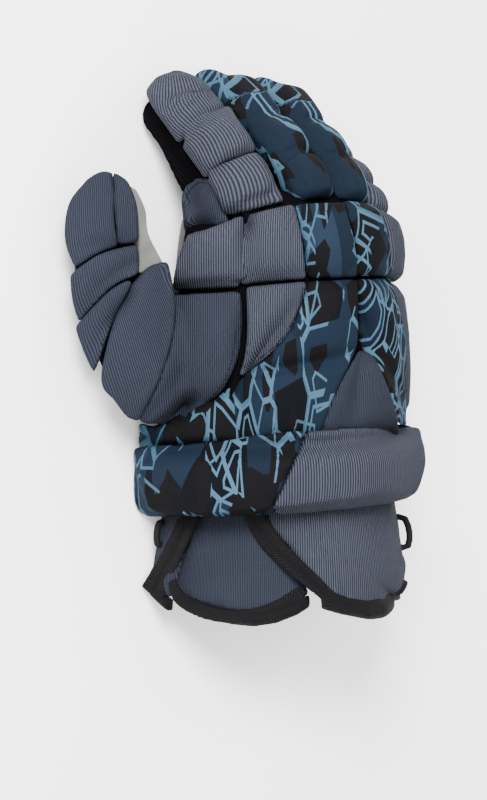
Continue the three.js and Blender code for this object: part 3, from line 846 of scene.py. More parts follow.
def finish_material(name):
    """A finish of the glove, made the first time it is asked for."""
    sizes = bpy.context.scene.glove_sizes
    colours = bpy.context.scene.glove_colours
    makers = {
        "grey": lambda: knit_material(
            "grey_knit", tuple(colours.grey), sizes.rib_pitch, painted_shade_contrast=0.72, depth=0.42 * MM
        ),
        "deep": lambda: knit_material(
            "deep_grey_knit", tuple(colours.deep_grey), sizes.rib_pitch * 0.9, painted_shade_contrast=0.5,
            depth=0.34 * MM
        ),
        "print": lambda: print_material("printed_cloth", sizes, colours),
        "black": lambda: black_knit_material("black_knit", sizes.rib_pitch * 0.7),
        "webbing": lambda: webbing_material("black_webbing"),
        "suede": lambda: suede_material("pale_suede", tuple(colours.suede)),
        "thread": lambda: thread_material("navy_thread", (0.0030, 0.0036, 0.0080)),
        "cord": lambda: thread_material("black_cord", (0.0035, 0.0035, 0.0040)),
    }
    if name not in FINISHES:
        FINISHES[name] = makers[name]()
    return FINISHES[name]


def finish_piece(piece, finish, nodes=()):
    """Dresses a piece, shades it smooth and hangs it on the glove's body."""
    piece.data.materials.clear()
    piece.data.materials.append(finish_material(finish))
    piece.data.shade_smooth()
    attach(piece, "root")
    if nodes:
        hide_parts(*nodes)


def pad(name, nodes, finish, wraps, rows):
    """One padded piece: the CAD nodes that it stands for, its finish, and where the photograph
    shows it, as rows of pixels from its top edge to its bottom edge. A piece that wraps round out
    of sight keeps its CAD form too."""
    return {"name": name, "nodes": nodes, "finish": finish, "wraps": wraps, "rows": rows}


FINGER_PADS = [
    pad("index_tip_block", ("index_pad_tip",), "grey", True, [
        [(157, 78), (181, 76), (205, 86)], [(150, 91), (186, 92), (215, 98)],
        [(160, 112), (188, 105), (221, 106)], [(175, 130), (181, 117), (190, 113)]]),
    pad("index_upper_block", ("index_pad_upper",), "grey", True, [
        [(184, 116), (229, 107)], [(184, 134), (241, 127)], [(196, 154), (250, 140)],
        [(207, 168), (255, 150)]]),
    pad("index_lower_block", ("index_pad_lower",), "grey", True, [
        [(208, 170), (256, 153)], [(216, 188), (270, 177)], [(227, 215), (283, 201)]]),
    pad("middle_tip_block", ("middle_pad_tip",), "print", True, [
        [(194, 76), (210, 70), (232, 79)], [(210, 90), (236, 86), (257, 97)],
        [(232, 108), (250, 103), (270, 104)]]),
    pad("middle_upper_block", ("middle_pad_upper",), "print", True, [
        [(233, 109), (271, 105)], [(246, 126), (284, 122)], [(262, 146), (294, 142)]]),
    pad("middle_lower_block", ("middle_pad_lower",), "print", True, [
        [(263, 148), (295, 143)], [(274, 170), (312, 162)], [(287, 200), (327, 188), (328, 190)]]),
    pad("ring_tip_block", ("ring_pad_tip",), "print", True, [
        [(246, 84), (262, 78), (282, 86)], [(266, 96), (284, 94), (305, 104)],
        [(284, 112), (300, 110), (322, 120)]]),
    pad("ring_upper_block", ("ring_pad_upper",), "print", True, [
        [(285, 114), (323, 121)], [(298, 130), (332, 132)], [(311, 148), (338, 144)]]),
    pad("ring_lower_block", ("ring_pad_lower",), "print", True, [
        [(312, 149), (339, 145)], [(322, 168), (353, 164)], [(331, 192), (362, 192)]]),
    pad("pinky_tip_block", ("pinky_pad_tip",), "grey", True, None),
    pad("pinky_upper_block", ("pinky_pad_upper",), "grey", True, None),
    pad("pinky_lower_block", ("pinky_pad_lower",), "grey", True, None),
    pad("index_tongue_block", ("index_side_tongue",), "deep", False, [
        [(189, 182), (200, 176), (212, 182)], [(183, 200), (202, 200), (221, 202)],
        [(187, 232), (206, 228), (228, 223)]]),
]
HAND_PADS = [
    pad("index_side_knuckle_block", ("index_side_knuckle",), "grey", True, [
        [(188, 235), (228, 224)], [(178, 262), (234, 254)], [(172, 290), (239, 287)]]),
    pad("index_knuckle_block", ("index_knuckle",), "grey", False, [
        [(231, 219), (293, 205)], [(237, 252), (301, 240)], [(241, 284), (305, 278)]]),
    pad("middle_knuckle_block", ("middle_knuckle",), "print", False, [
        [(295, 205), (343, 203)], [(303, 240), (353, 240)], [(308, 278), (357, 276)]]),
    pad("ring_knuckle_block", ("ring_knuckle",), "print", True, [
        [(345, 204), (379, 212)], [(355, 240), (389, 244)], [(359, 276), (392, 274)]]),
    pad("pinky_knuckle_block", ("pinky_knuckle",), "grey", True, None),
    pad("web_block", ("web_pad",), "deep", False, [
        [(172, 296), (240, 292)], [(173, 331), (241, 328)], [(164, 367), (236, 360)],
        [(151, 396), (219, 393)], [(141, 414), (193, 414)], [(139, 421), (160, 425)]]),
    pad("index_back_block", ("index_back_pad",), "grey", False, [
        [(247, 288), (306, 282)], [(248, 314), (299, 309)], [(248, 338), (285, 336)],
        [(245, 360), (264, 359)], [(239, 377), (243, 375)]]),
    pad("back_centre_block", ("middle_back_pad", "back_base_pad"), "print", False, [
        [(308, 282), (356, 280)], [(301, 309), (357, 312)], [(287, 336), (356, 345)],
        [(266, 360), (343, 375)], [(242, 379), (333, 396)], [(226, 411), (325, 418)],
        [(209, 444), (319, 437)]]),
    pad("ring_back_block", ("ring_back_pad",), "print", True, [
        [(358, 281), (388, 277)], [(359, 316), (399, 312)], [(361, 346), (405, 345)],
        [(378, 366), (405, 375)], [(389, 392), (405, 400)], [(398, 424), (406, 426)]]),
    pad("pinky_back_block", ("pinky_back_pad",), "grey", True, None),
    pad("back_side_block", ("back_side_pad",), "print", True, [
        [(139, 423), (165, 427), (203, 409), (233, 385)], [(139, 434), (165, 437), (198, 425), (219, 409)],
        [(141, 448), (165, 450), (190, 448), (199, 445)]]),
    pad("back_corner_block", ("back_corner_pad",), "deep", False, [
        [(359, 350), (371, 355)], [(350, 367), (379, 369)], [(340, 385), (387, 388)],
        [(328, 412), (395, 412)], [(319, 436), (400, 435)]]),
]
BESIDE_THUMB = ("web_block", "back_side_block")
FLAT_PIECES = ("web_block", "back_side_block", "index_side_knuckle_block")
THUMB_PADS = [
    pad("thumb_tip_block", ("thumb_pad_tip",), "deep", False, [
        [(90, 178), (102, 172), (112, 173)], [(72, 199), (94, 194), (113, 191)],
        [(66, 222), (90, 217), (113, 213)], [(67, 246), (92, 240), (115, 234)],
        [(76, 267), (98, 253), (117, 246)]]),
    pad("thumb_tip_facet", (), "deep", False, [
        [(114, 173), (127, 181)], [(115, 206), (136, 206)], [(118, 245), (138, 241)]]),
    pad("thumb_upper_block", ("thumb_pad_upper",), "deep", False, [
        [(71, 275), (100, 255), (137, 245)], [(73, 299), (103, 274), (138, 258)],
        [(79, 321), (110, 288), (138, 273)]]),
    pad("thumb_lower_block", ("thumb_pad_lower",), "deep", False, [
        [(76, 327), (108, 293), (130, 280)], [(84, 350), (112, 305), (131, 281)],
        [(94, 372), (112, 322), (131, 283)]]),
    pad("thumb_base_block", ("thumb_pad_base",), "deep", False, [
        [(133, 284), (150, 267), (167, 262)], [(114, 323), (140, 305), (174, 300)],
        [(102, 379), (130, 352), (172, 335)], [(114, 399), (135, 387), (159, 378)],
        [(127, 416), (131, 418), (138, 420)]]),
]
BAND_PADS = [
    pad("band_print_roll", ("band_print",), "print", True, [
        [(134, 449), (220, 440), (306, 431)], [(140, 480), (215, 477), (289, 470)],
        [(151, 511), (193, 514), (271, 508)]]),
    pad("band_grey_roll", ("band_grey",), "grey", True, [
        [(308, 431), (365, 429), (419, 427)], [(291, 470), (360, 466), (424, 459)],
        [(273, 508), (340, 500), (417, 491)]]),
]
FLAPS = [
    pad("cuff_side_flap", ("cuff_flap_side",), "deep", True, None),
    pad("cuff_centre_flap", ("cuff_flap_centre",), "deep", True, [
        [(201, 514), (245, 512)], [(186, 550), (262, 550)], [(173, 585), (296, 578)],
        [(188, 598), (296, 594)], [(225, 611), (254, 611)]]),
    pad("cuff_outer_flap", ("cuff_flap_outer",), "grey", True, [
        [(264, 510), (388, 497)], [(268, 525), (393, 526)], [(284, 542), (397, 545)],
        [(303, 562), (404, 562)], [(320, 578), (403, 577)], [(335, 592), (398, 591)],
        [(345, 601), (390, 600)]]),
]
ROUND_CORNER = {"centre": (368, 574), "reach": (40, 40), "on": ("cuff_outer_flap", "binding_outer_tape")}


def tape(name, nodes, keeps, rows):
    """One tape: the CAD nodes that it stands for, the one whose form it keeps, and its pixels."""
    return {"name": name, "nodes": nodes, "keeps": keeps, "rows": rows}


TAPES = [
    tape("binding_side_edge_tape", ("binding_side_edge",), None, [
        [(181, 514), (200, 514)], [(170, 537), (190, 539)], [(160, 556), (179, 564)],
        [(142, 586), (161, 604)]]),
    tape("binding_outer_tape", ("binding_outer", "binding_outer_edge"), "binding_outer", [
        [(243, 513), (266, 511)], [(251, 531), (271, 524)], [(265, 551), (283, 541)],
        [(287, 571), (301, 560)], [(310, 590), (318, 576)], [(332, 606), (335, 592)],
        [(356, 613), (355, 598)], [(380, 612), (376, 596)], [(404, 606), (393, 590)],
        [(409, 582), (399, 574)]]),
    tape("binding_centre_tape", ("binding_centre",), "binding_centre", [
        [(168, 582), (175, 579)], [(176, 603), (186, 595)], [(202, 618), (210, 606)],
        [(236, 623), (237, 610)], [(269, 618), (264, 605)], [(308, 600), (298, 587)]]),
]
GUSSET = {"name": "index_gusset", "rows": [
    [(148, 99), (152, 102)], [(142, 120), (172, 132)], [(160, 147), (186, 152)],
    [(174, 176), (206, 172)], [(185, 197), (212, 180)]]}
INDEX_EDGE = {"name": "index_suede_edge", "rows": [
    [(145, 136), (151, 138)], [(155, 160), (163, 158)], [(166, 186), (177, 185)],
    [(177, 212), (184, 208)], [(184, 233), (191, 230)]]}
THUMB_SIDE = {"name": "thumb_suede_side", "rows": [
    [(126, 184), (136, 190)], [(135, 204), (145, 210)], [(138, 240), (148, 234)],
    [(139, 274), (162, 262)]]}


def spread(values, count):
    """Evenly spaced points on a smooth line through values."""
    line = np.array(smooth_route([tuple(value) for value in values]))
    steps = np.linalg.norm(np.diff(line, axis=0), axis=1)
    along = np.concatenate([[0], np.cumsum(steps)])
    wanted = np.linspace(0, along[-1], count)
    return np.stack([np.interp(wanted, along, line[:, axis]) for axis in range(line.shape[1])], axis=1)


def pixel_grid(rows, spacing):
    """A grid of pixels between rows of pixels, about a spacing apart."""
    width = max(math.dist(row[0], row[-1]) for row in rows)
    height = max(math.dist(rows[0][side], rows[-1][side]) for side in (0, -1))
    across = max(LEAST_CELLS, round(width / spacing))
    down = max(LEAST_CELLS, round(height / spacing))
    even_rows = [
        spread(row, across) if len(row) > 2 else np.linspace(row[0], row[-1], across) for row in rows
    ]
    columns = [spread([row[column] for row in even_rows], down) for column in range(across)]
    return np.stack(columns, axis=1)


def neighbours(depths):
    """The four neighbours of each place of a depth map."""
    padded = np.pad(depths, 1, mode="edge")
    return np.stack([padded[:-2, 1:-1], padded[2:, 1:-1], padded[1:-1, :-2], padded[1:-1, 2:]])


def view_depths(pixels, trees):
    """How far the camera sees the nearest surface at each pixel, filled in where it sees none."""
    depths = np.full(pixels.shape[:2], np.nan)
    for spot in np.ndindex(depths.shape):
        eye, direction = photo_ray(*pixels[spot])
        found = [hit[3] for hit in (tree.ray_cast(eye, direction) for tree in trees) if hit[0] is not None]
        if found:
            depths[spot] = min(found)
    for _ in range(FILL_ROUNDS):
        if not np.isnan(depths).any():
            break
        around = neighbours(depths)
        known = ~np.isnan(around)
        total = np.where(known, around, 0).sum(axis=0)
        mean = total / np.maximum(known.sum(axis=0), 1)
        depths = np.where(np.isnan(depths) & known.any(axis=0), mean, depths)
    return depths


def relaxed(depths, rounds):
    """A depth map with its steps smoothed out."""
    for _ in range(rounds):
        depths = (2 * depths + neighbours(depths).sum(axis=0)) / 6
    return depths


def reading_order(vert):
    """Sorts the vertices of a grid from left to right and from top to bottom."""
    return -round(vert.co.y, 4), round(vert.co.x, 4)


def photo_body(row, carriers, lift, thickness):
    """A closed body that fills its outline in the photograph, on what the camera sees there."""
    pixels = pixel_grid(row["rows"], PATCH_SPACING)
    depths = relaxed(view_depths(pixels, carriers), PATCH_ROUNDS) - lift
    down, across = depths.shape
    work = bmesh.new()
    made = bmesh.ops.create_grid(work, x_segments=across - 1, y_segments=down - 1, size=1.0)
    top = sorted(made["verts"], key=reading_order)
    shell = bmesh.ops.extrude_face_region(work, geom=work.faces[:], use_keep_orig=True)
    pushed = [item for item in shell["geom"] if isinstance(item, bmesh.types.BMVert)]
    under = sorted(pushed, key=reading_order)
    for spot, (upper, lower) in zip(np.ndindex(depths.shape), zip(top, under)):
        eye, direction = photo_ray(*pixels[spot])
        upper.co = eye + direction * depths[spot]
        lower.co = eye + direction * (depths[spot] + thickness)
    bmesh.ops.recalc_face_normals(work, faces=work.faces)
    mesh = bpy.data.meshes.new(row["name"])
    work.to_mesh(mesh)
    work.free()
    return mesh


def fuse(piece, mesh):
    """Adds another closed body to a piece, for a remesh to join, and drops that body's mesh."""
    both = bmesh.new()
    both.from_mesh(piece.data)
    both.from_mesh(mesh)
    both.to_mesh(piece.data)
    both.free()
    bpy.data.meshes.remove(mesh)


def soft_form(row, carriers, voxel, rounds, grow, lift):
    """The round form of a padded piece, before it swells."""
    if row["wraps"]:
        piece = merged_copy(row["nodes"], row["name"])
        if row["rows"]:
            fuse(piece, photo_body(row, carriers, lift, PATCH_THICKNESS))
    else:
        piece = new_object(row["name"], photo_body(row, carriers, lift, PATCH_THICKNESS))
    remesh(piece, voxel)
    smooth(piece, rounds, grow)
    if row["name"] in ROUND_CORNER["on"]:
        round_corner(piece, ROUND_CORNER)
    return piece


def padded_pieces(rows, voxel, rounds, grow, lift, seats, carriers_of, line_of, limit):
    """Makes, swells and dresses a group of padded pieces."""
    forms = [soft_form(row, carriers_of(row), voxel, rounds, grow, lift) for row in rows]
    swell(forms, seats, limit)
    for row, piece in zip(rows, forms):
        line, radius = line_of(piece.name)
        set_place(piece, line, radius)
        subdivide(piece, 1)
        finish_piece(piece, row["finish"], row["nodes"])


def trees_of(nodes):
    """A search tree of each of several CAD nodes."""
    return [node_tree(node) for node in nodes]


def hand_axis(_name):
    """The axis that the hand's cloth is wrapped round, and its radius."""
    return straight_line(HAND_X, HAND_Z), HAND_RADIUS


def back_axis(name):
    """The axis of a piece's cloth: the hand's own, or one far behind where the piece lies flat."""
    if name in FLAT_PIECES:
        behind = CAMERA_TARGET - FLAT_RADIUS * CAMERA_BACK
        return straight_line(behind.x, behind.z), FLAT_RADIUS
    return hand_axis(name)


def cuff_axis(_name):
    """The axis that the cuff's cloth is wrapped round, and its radius."""
    return straight_line(CUFF_X, 0), CUFF_RADIUS


class GLOVE_OT_finger_pads(bpy.types.Operator):
    """Make the padded blocks on the four fingers"""

    bl_idname = "glove.finger_pads"
    bl_label = "Finger pads"

    def execute(self, context):
        limit = context.scene.glove_sizes.pad_swell
        lines = {finger: limb_line(f"{finger}_sleeve") for finger in FINGERS}
        parts = ("pad_lower", "pad_upper", "pad_tip", "sleeve")
        trees = {finger: trees_of([f"{finger}_{part}" for part in parts]) for finger in FINGERS}
        trees["index"] += trees_of(("index_side_tongue", "index_side_knuckle", "index_knuckle"))

        def finger_of(name):
            """The finger that a piece's name begins with."""
            return name.split("_")[0]

        padded_pieces(
            FINGER_PADS, PAD_VOXEL, PAD_ROUNDS, FINGER_GROW, PATCH_LIFT,
            [f"{finger}_sleeve" for finger in FINGERS],
            lambda row: trees[finger_of(row["name"])],
            lambda name: (lines[finger_of(name)], FINGER_RADIUS), limit,
        )
        return {"FINISHED"}


class GLOVE_OT_hand_pads(bpy.types.Operator):
    """Make the knuckle blocks and the pads on the back of the hand"""

    bl_idname = "glove.hand_pads"
    bl_label = "Hand pads"

    def execute(self, context):
        limit = context.scene.glove_sizes.pad_swell
        nodes = [node for row in HAND_PADS for node in row["nodes"]]
        trees = trees_of([*nodes, "hand_shell"])
        beside_thumb = trees + trees_of(("thumb_sleeve", "thumb_pad_base"))
        padded_pieces(
            HAND_PADS, PAD_VOXEL, PAD_ROUNDS, HAND_GROW, 0, ["hand_shell"],
            lambda row: beside_thumb if row["name"] in BESIDE_THUMB else trees, back_axis,
            limit,
        )
        return {"FINISHED"}


class GLOVE_OT_thumb_pads(bpy.types.Operator):
    """Make the fanned blocks on the thumb"""

    bl_idname = "glove.thumb_pads"
    bl_label = "Thumb pads"

    def execute(self, context):
        limit = context.scene.glove_sizes.pad_swell
        line = limb_line("thumb_sleeve")
        parts = ("pad_base", "pad_lower", "pad_upper", "pad_tip", "sleeve")
        trees = trees_of([f"thumb_{part}" for part in parts])
        padded_pieces(
            THUMB_PADS, PAD_VOXEL, PAD_ROUNDS, HAND_GROW, PATCH_LIFT, ["thumb_sleeve"],
            lambda row: trees, lambda name: (line, THUMB_RADIUS), limit,
        )
        return {"FINISHED"}


class GLOVE_OT_band(bpy.types.Operator):
    """Make the padded roll round the wrist"""

    bl_idname = "glove.band"
    bl_label = "Wrist band"

    def execute(self, context):
        limit = context.scene.glove_sizes.pad_swell
        trees = trees_of(("band_print", "band_grey", "back_corner_pad", "back_base_pad", "ring_back_pad",
                          "pinky_back_pad", "hand_shell"))
        padded_pieces(
            BAND_PADS, WIDE_VOXEL, PAD_ROUNDS, BAND_GROW, BAND_LIFT, ["hand_shell"],
            lambda row: trees, cuff_axis, limit,
        )
        return {"FINISHED"}


class GLOVE_OT_flaps(bpy.types.Operator):
    """Make the three flaps of the cuff"""

    bl_idname = "glove.flaps"
    bl_label = "Cuff flaps"

    def execute(self, context):
        limit = FLAP_SWELL_SHARE * context.scene.glove_sizes.pad_swell
        trees = {row["name"]: trees_of(row["nodes"]) for row in FLAPS}
        padded_pieces(
            FLAPS, WIDE_VOXEL, PAD_ROUNDS, FLAP_GROW, 0, ["hand_shell"],
            lambda row: trees[row["name"]], cuff_axis, limit,
        )
        return {"FINISHED"}


class GLOVE_OT_bindings(bpy.types.Operator):
    """Make the woven tapes on the flaps' edges"""

    bl_idname = "glove.bindings"
    bl_label = "Bindings"

    def execute(self, context):
        trees = trees_of(("cuff_flap_side", "cuff_flap_centre", "cuff_flap_outer", "binding_side",
                          "binding_centre", "binding_outer", "binding_outer_edge", "binding_side_edge"))
        tapes = [
            new_object(row["name"], photo_body(row, trees, TAPE_LIFT, TAPE_THICKNESS)) for row in TAPES
        ]
        for piece, row in zip(tapes, TAPES):
            if row["keeps"]:
                fuse(piece, merged_mesh((row["keeps"],), row["keeps"]))
        tapes.append(merged_copy(("binding_side",), "binding_side_tape"))
        nodes = [row["nodes"] for row in TAPES] + [("binding_side",)]
        for piece, stands_for in zip(tapes, nodes):
            remesh(piece, TAPE_VOXEL)
            smooth(piece, TAPE_ROUNDS, TAPE_GROW)
            if piece.name in ROUND_CORNER["on"]:
                round_corner(piece, ROUND_CORNER)
            set_place(piece, strip_line(piece), TAPE_RADIUS)
            subdivide(piece, 1)
            finish_piece(piece, "webbing", stands_for)
        return {"FINISHED"}


class GLOVE_OT_knit(bpy.types.Operator):
    """Make the black knit of the hand, the fingers and the thumb"""

    bl_idname = "glove.knit"
    bl_label = "Black knit"

    def execute(self, context):
        for limb in (*FINGERS, "thumb"):
            node = f"{limb}_sleeve"
            piece = merged_copy((node,), f"{limb}_knit")
            if limb == "index":
                trees = trees_of((node, "index_leather"))
                fuse(piece, photo_body(GUSSET, trees, GUSSET_LIFT, GUSSET_THICKNESS))
                remesh(piece, SHELL_VOXEL)
                smooth(piece, PAD_ROUNDS, EDGE_GROW)
            line = limb_line(node)
            if limb == "thumb":
                draw_in(piece, line, THUMB_DRAW)
            set_place(piece, line, KNIT_RADIUS)
            subdivide(piece, 1 if limb == "index" else 2)
            finish_piece(piece, "black", (node,))
        hand = merged_copy(("hand_shell",), "hand_knit")
        remesh(hand, SHELL_VOXEL)
        smooth(hand, SHELL_ROUNDS)
        line, radius = hand_axis("")
        set_place(hand, line, radius)
        finish_piece(hand, "black", ("hand_shell",))
        return {"FINISHED"}


LEATHERS = [
    ("palm_suede", "palm_leather", "hand"),
    ("thumb_suede", "thumb_leather", "thumb"),
    ("web_suede", "thumb_web", "hand"),
] + [(f"{finger}_suede", f"{finger}_leather", finger) for finger in FINGERS]


def flat_size(piece):
    """The flat width and length of a sewn-on sheet: half its skin, longer side along its line."""
    area = sum(face.area for face in piece.data.polygons) / 2
    points = coordinates(piece.data)
    length = min(points[:, 1].max() - points[:, 1].min(), area / LEAST_SHEET_WIDTH)
    return area / length, length


class GLOVE_OT_leather(bpy.types.Operator):
    """Make the suede on the grip side"""

    bl_idname = "glove.leather"
    bl_label = "Suede"

    def execute(self, context):
        for name, node, limb in LEATHERS:
            piece = merged_copy((node,), name)
            extra = {"index_suede": INDEX_EDGE, "thumb_suede": THUMB_SIDE}.get(name)
            if name == "thumb_suede":
                draw_in(piece, limb_line("thumb_sleeve"), THUMB_DRAW)
            if extra:
                trees = trees_of((node, f"{limb}_sleeve"))
                fuse(piece, photo_body(extra, trees, SUEDE_LIFT, SUEDE_THICKNESS))
                remesh(piece, SUEDE_VOXEL)
                smooth(piece, PAD_ROUNDS, EDGE_GROW)
            else:
                subdivide(piece, 2, apply=True)
            line = hand_axis("")[0] if limb == "hand" else limb_line(f"{limb}_sleeve")
            set_place(piece, line, KNIT_RADIUS)
            finish_piece(piece, "suede", (node,))
            flat_size(piece)
        return {"FINISHED"}


class GLOVE_OT_laces(bpy.types.Operator):
    """Make the lace loops and the tab behind the band"""

    bl_idname = "glove.laces"
    bl_label = "Laces and tab"

    def execute(self, context):
        for node in ("lace_loop_outer", "lace_loop_side"):
            piece = merged_copy((node,), f"{node}_cord")
            remesh(piece, LACE_VOXEL)
            smooth(piece, PAD_ROUNDS, LACE_GROW)
            set_place(piece, strip_line(piece), LACE_RADIUS)
            finish_piece(piece, "cord", (node,))
        tab = merged_copy(("band_tab",), "band_tab_tape")
        subdivide(tab, 2, apply=True)
        set_place(tab, strip_line(tab), TAB_RADIUS)
        finish_piece(tab, "webbing", ("band_tab",))
        return {"FINISHED"}


# Stitches: half the length of one as a share of the pitch, then half its width and height
STITCH_SHARE = 0.45
STITCH_WIDTH = 0.36 * MM
STITCH_HEIGHT = 0.3 * MM
STITCH_LIFT = 0.15 * MM

# Routes of the seams in pixels of the photograph, and the pieces that carry them
SEAMS = [
    {"name": "web_border", "on": ("web_block",), "slant": 38,
     "route": [(141, 421), (160, 423), (182, 416), (204, 403), (221, 386), (231, 362), (236, 330)]},
    {"name": "back_border", "on": ("index_back_block",), "slant": 38,
     "route": [(303, 288), (299, 306), (290, 326), (275, 346), (252, 364)]},
    {"name": "band_border", "on": ("band_grey_roll",), "slant": 38,
     "route": [(308, 434), (297, 458), (285, 484), (275, 505)]},
    {"name": "thumb_tip_seam", "on": ("thumb_tip_block",), "slant": 0,
     "route": [(107, 140), (110, 160), (112, 185)]},
    {"name": "tongue_border", "on": ("index_tongue_block",), "slant": 0,
     "route": [(188, 226), (184, 208), (190, 190), (202, 182), (214, 190), (222, 212)]},
]


def photo_ray(px, py):
    """The camera's place and the direction in which it sees a pixel of the photograph."""
    eye = CAMERA_TARGET + CAMERA_DISTANCE * CAMERA_BACK
    aim = CAMERA_TARGET + CAMERA_RIGHT * ((px - PHOTO_WIDTH / 2) * PIXEL)
    aim += CAMERA_UP * ((PHOTO_HEIGHT / 2 - py) * PIXEL)
    return eye, (aim - eye).normalized()


def smooth_route(points, steps=12):
    """A smooth line through points, as many short steps."""
    line = []
    for index in range(len(points) - 1):
        before = points[max(index - 1, 0)]
        start, end = points[index], points[index + 1]
        after = points[min(index + 2, len(points) - 1)]
        for step in range(steps):
            t = step / steps
            line.append(tuple(
                0.5 * (2 * s + (e - b) * t + (2 * b - 5 * s + 4 * e - a) * t**2
                       + (3 * s - b - 3 * e + a) * t**3)
                for b, s, e, a in zip(before, start, end, after)
            ))
    line.append(points[-1])
    return line


def shown_tree(names):
    """A search tree of finished pieces with their modifiers."""
    depsgraph = bpy.context.evaluated_depsgraph_get()
    work = bmesh.new()
    for name in names:
        shown = bpy.data.objects[name].evaluated_get(depsgraph)
        work.from_mesh(shown.to_mesh())
        shown.to_mesh_clear()
    tree = BVHTree.FromBMesh(work)
    work.free()
    return tree


def seam_points(seam, pitch):
    """Even places along a seam, each with the surface's normal."""
    tree = shown_tree(seam["on"])
    hits = []
    for px, py in smooth_route(seam["route"]):
        eye, direction = photo_ray(px, py)
        place, normal, _, _ = tree.ray_cast(eye, direction)
        if place is not None:
            hits.append((place, normal))
    even = []
    travelled = 0.0
    for (start, normal), (end, _) in zip(hits, hits[1:]):
        span = (end - start).length
        while travelled < span:
            place = start.lerp(end, travelled / max(span, NEARLY_ZERO))
            even.append((place, normal, (end - start).normalized()))
            travelled += pitch
        travelled -= span
    return even


def stitch_mesh(seam, pitch):
    """One small rounded bead for each stitch of a seam."""
    work = bmesh.new()
    for place, normal, ahead in seam_points(seam, pitch):
        side = normal.cross(ahead).normalized()
        slant = Matrix.Rotation(math.radians(seam["slant"]), 3, "Z")
        turn = Matrix((ahead, side, normal)).transposed() @ slant
        size = Matrix.Diagonal((STITCH_SHARE * pitch, STITCH_WIDTH, STITCH_HEIGHT, 1))
        where = Matrix.Translation(place + normal * STITCH_LIFT) @ turn.to_4x4() @ size
        bmesh.ops.create_uvsphere(work, u_segments=6, v_segments=4, radius=1.0, matrix=where)
    mesh = bpy.data.meshes.new(f"{seam['name']}_stitches")
    work.to_mesh(mesh)
    work.free()
    return mesh


class GLOVE_OT_stitches(bpy.types.Operator):
    """Sew the seams that show"""

    bl_idname = "glove.stitches"
    bl_label = "Stitches"

    def execute(self, context):
        pitch = context.scene.glove_sizes.stitch_length
        for seam in SEAMS:
            mesh = stitch_mesh(seam, pitch)
            if not mesh.vertices:
                raise RuntimeError(f"{seam['name']} meets no piece")
            finish_piece(new_object(mesh.name, mesh), "thread")
        return {"FINISHED"}


# Stage

# Name, place, size and power of each light
LIGHTS = (
    ("key", (-1.0, 0.8, 1.3), 0.7, 130),
    ("fill", (1.1, 0.4, 1.3), 1.2, 14),
    ("cuff_light", (-0.6, -1.2, 0.9), 1.0, 20),
)
SKY_STRENGTH = 2.0
FLOOR_SIZE = 6.0
CLIP_START = 0.05
CLIP_END = 50


def area_light(name, place, size, power):
    """A soft square light that looks at the glove."""
    lamp = bpy.data.lights.new(name, "AREA")
    lamp.size = size
    lamp.energy = power
    light = bpy.data.objects.new(name, lamp)
    light.location = place
    light.rotation_euler = (CAMERA_TARGET - Vector(place)).to_track_quat("-Z", "Y").to_euler()
    bpy.context.scene.collection.objects.link(light)


def floor_material():
    """Pale, slightly uneven ground."""
    material, bench, shader = new_material("pale_floor", roughness=0.9, specular=0.1)
    grain = bench.noise(object_place(bench), scale=6.0)
    shades = bench.ramp(grain, [(0.3, (0.86, 0.86, 0.86)), (0.7, (0.90, 0.90, 0.90))])
    bench.feed(shader.inputs["Base Color"], shades)
    return material


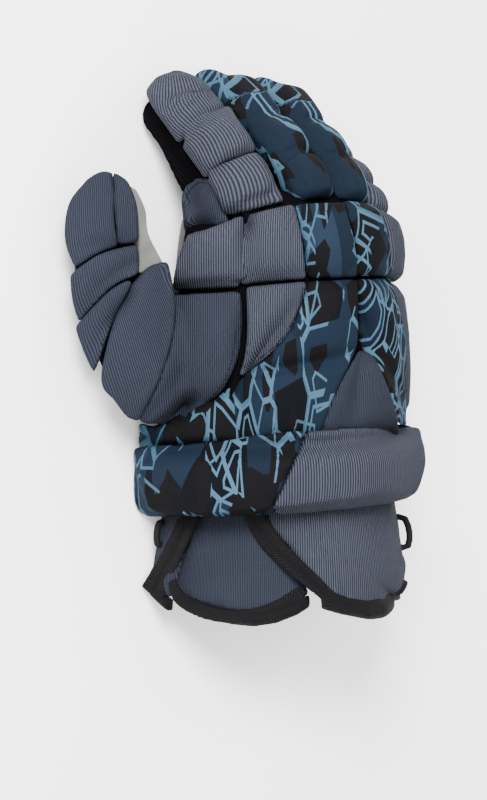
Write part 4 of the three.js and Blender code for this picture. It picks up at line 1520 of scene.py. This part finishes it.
class GLOVE_OT_stage(bpy.types.Operator):
    """Lay the floor, hang the lights and place the camera"""

    bl_idname = "glove.stage"
    bl_label = "Stage and camera"

    def execute(self, context):
        work = bmesh.new()
        bmesh.ops.create_grid(work, x_segments=2, y_segments=2, size=FLOOR_SIZE)
        mesh = bpy.data.meshes.new("floor")
        work.to_mesh(mesh)
        work.free()
        floor = new_object("floor", mesh)
        floor.data.materials.append(floor_material())

        world = bpy.data.worlds.new("studio")
        world.use_nodes = True
        sky = world.node_tree.nodes["Background"].inputs
        sky["Color"].default_value = (1, 1, 1, 1)
        sky["Strength"].default_value = SKY_STRENGTH
        context.scene.world = world
        for light in LIGHTS:
            area_light(*light)

        lens = bpy.data.cameras.new("photo_camera")
        lens.sensor_width = SENSOR
        lens.lens = SENSOR * CAMERA_DISTANCE / (PHOTO_HEIGHT * PIXEL)
        lens.clip_start = CLIP_START
        lens.clip_end = CLIP_END
        camera = bpy.data.objects.new("photo_camera", lens)
        axes = Matrix((CAMERA_RIGHT, CAMERA_UP, CAMERA_BACK)).transposed()
        camera.matrix_world = Matrix.Translation(
            CAMERA_TARGET + CAMERA_DISTANCE * CAMERA_BACK
        ) @ axes.to_4x4()
        context.scene.collection.objects.link(camera)
        context.scene.camera = camera
        return {"FINISHED"}


STEPS = (
    GLOVE_OT_finger_pads,
    GLOVE_OT_hand_pads,
    GLOVE_OT_thumb_pads,
    GLOVE_OT_band,
    GLOVE_OT_flaps,
    GLOVE_OT_bindings,
    GLOVE_OT_knit,
    GLOVE_OT_leather,
    GLOVE_OT_laces,
    GLOVE_OT_stitches,
    GLOVE_OT_stage,
)


class GLOVE_PT_panel(bpy.types.Panel):
    """The steps that build the glove"""

    bl_idname = "GLOVE_PT_panel"
    bl_label = "Lacrosse glove"
    bl_space_type = "VIEW_3D"
    bl_region_type = "UI"
    bl_category = "Glove"

    def draw(self, context):
        for name in ("rib_pitch", "pad_swell", "stitch_length", "print_scale"):
            self.layout.prop(context.scene.glove_sizes, name)
        for name in ("grey", "deep_grey", "navy", "steel", "suede"):
            self.layout.prop(context.scene.glove_colours, name)
        for step in STEPS:
            self.layout.operator(step.bl_idname)


CLASSES = (GloveSizes, GloveColours, *STEPS, GLOVE_PT_panel)


def register():
    for part in CLASSES:
        bpy.utils.register_class(part)
    bpy.types.Scene.glove_sizes = bpy.props.PointerProperty(type=GloveSizes)
    bpy.types.Scene.glove_colours = bpy.props.PointerProperty(type=GloveColours)


def unregister():
    del bpy.types.Scene.glove_colours
    del bpy.types.Scene.glove_sizes
    for part in reversed(CLASSES):
        bpy.utils.unregister_class(part)


def main():
    """Builds the glove and its stage."""
    register()
    for step in STEPS:
        call = getattr(bpy.ops.glove, step.bl_idname.split(".")[1])
        if call() != {"FINISHED"}:
            raise RuntimeError(f"{step.bl_idname} did not finish")


if __name__ == "__main__":
    main()
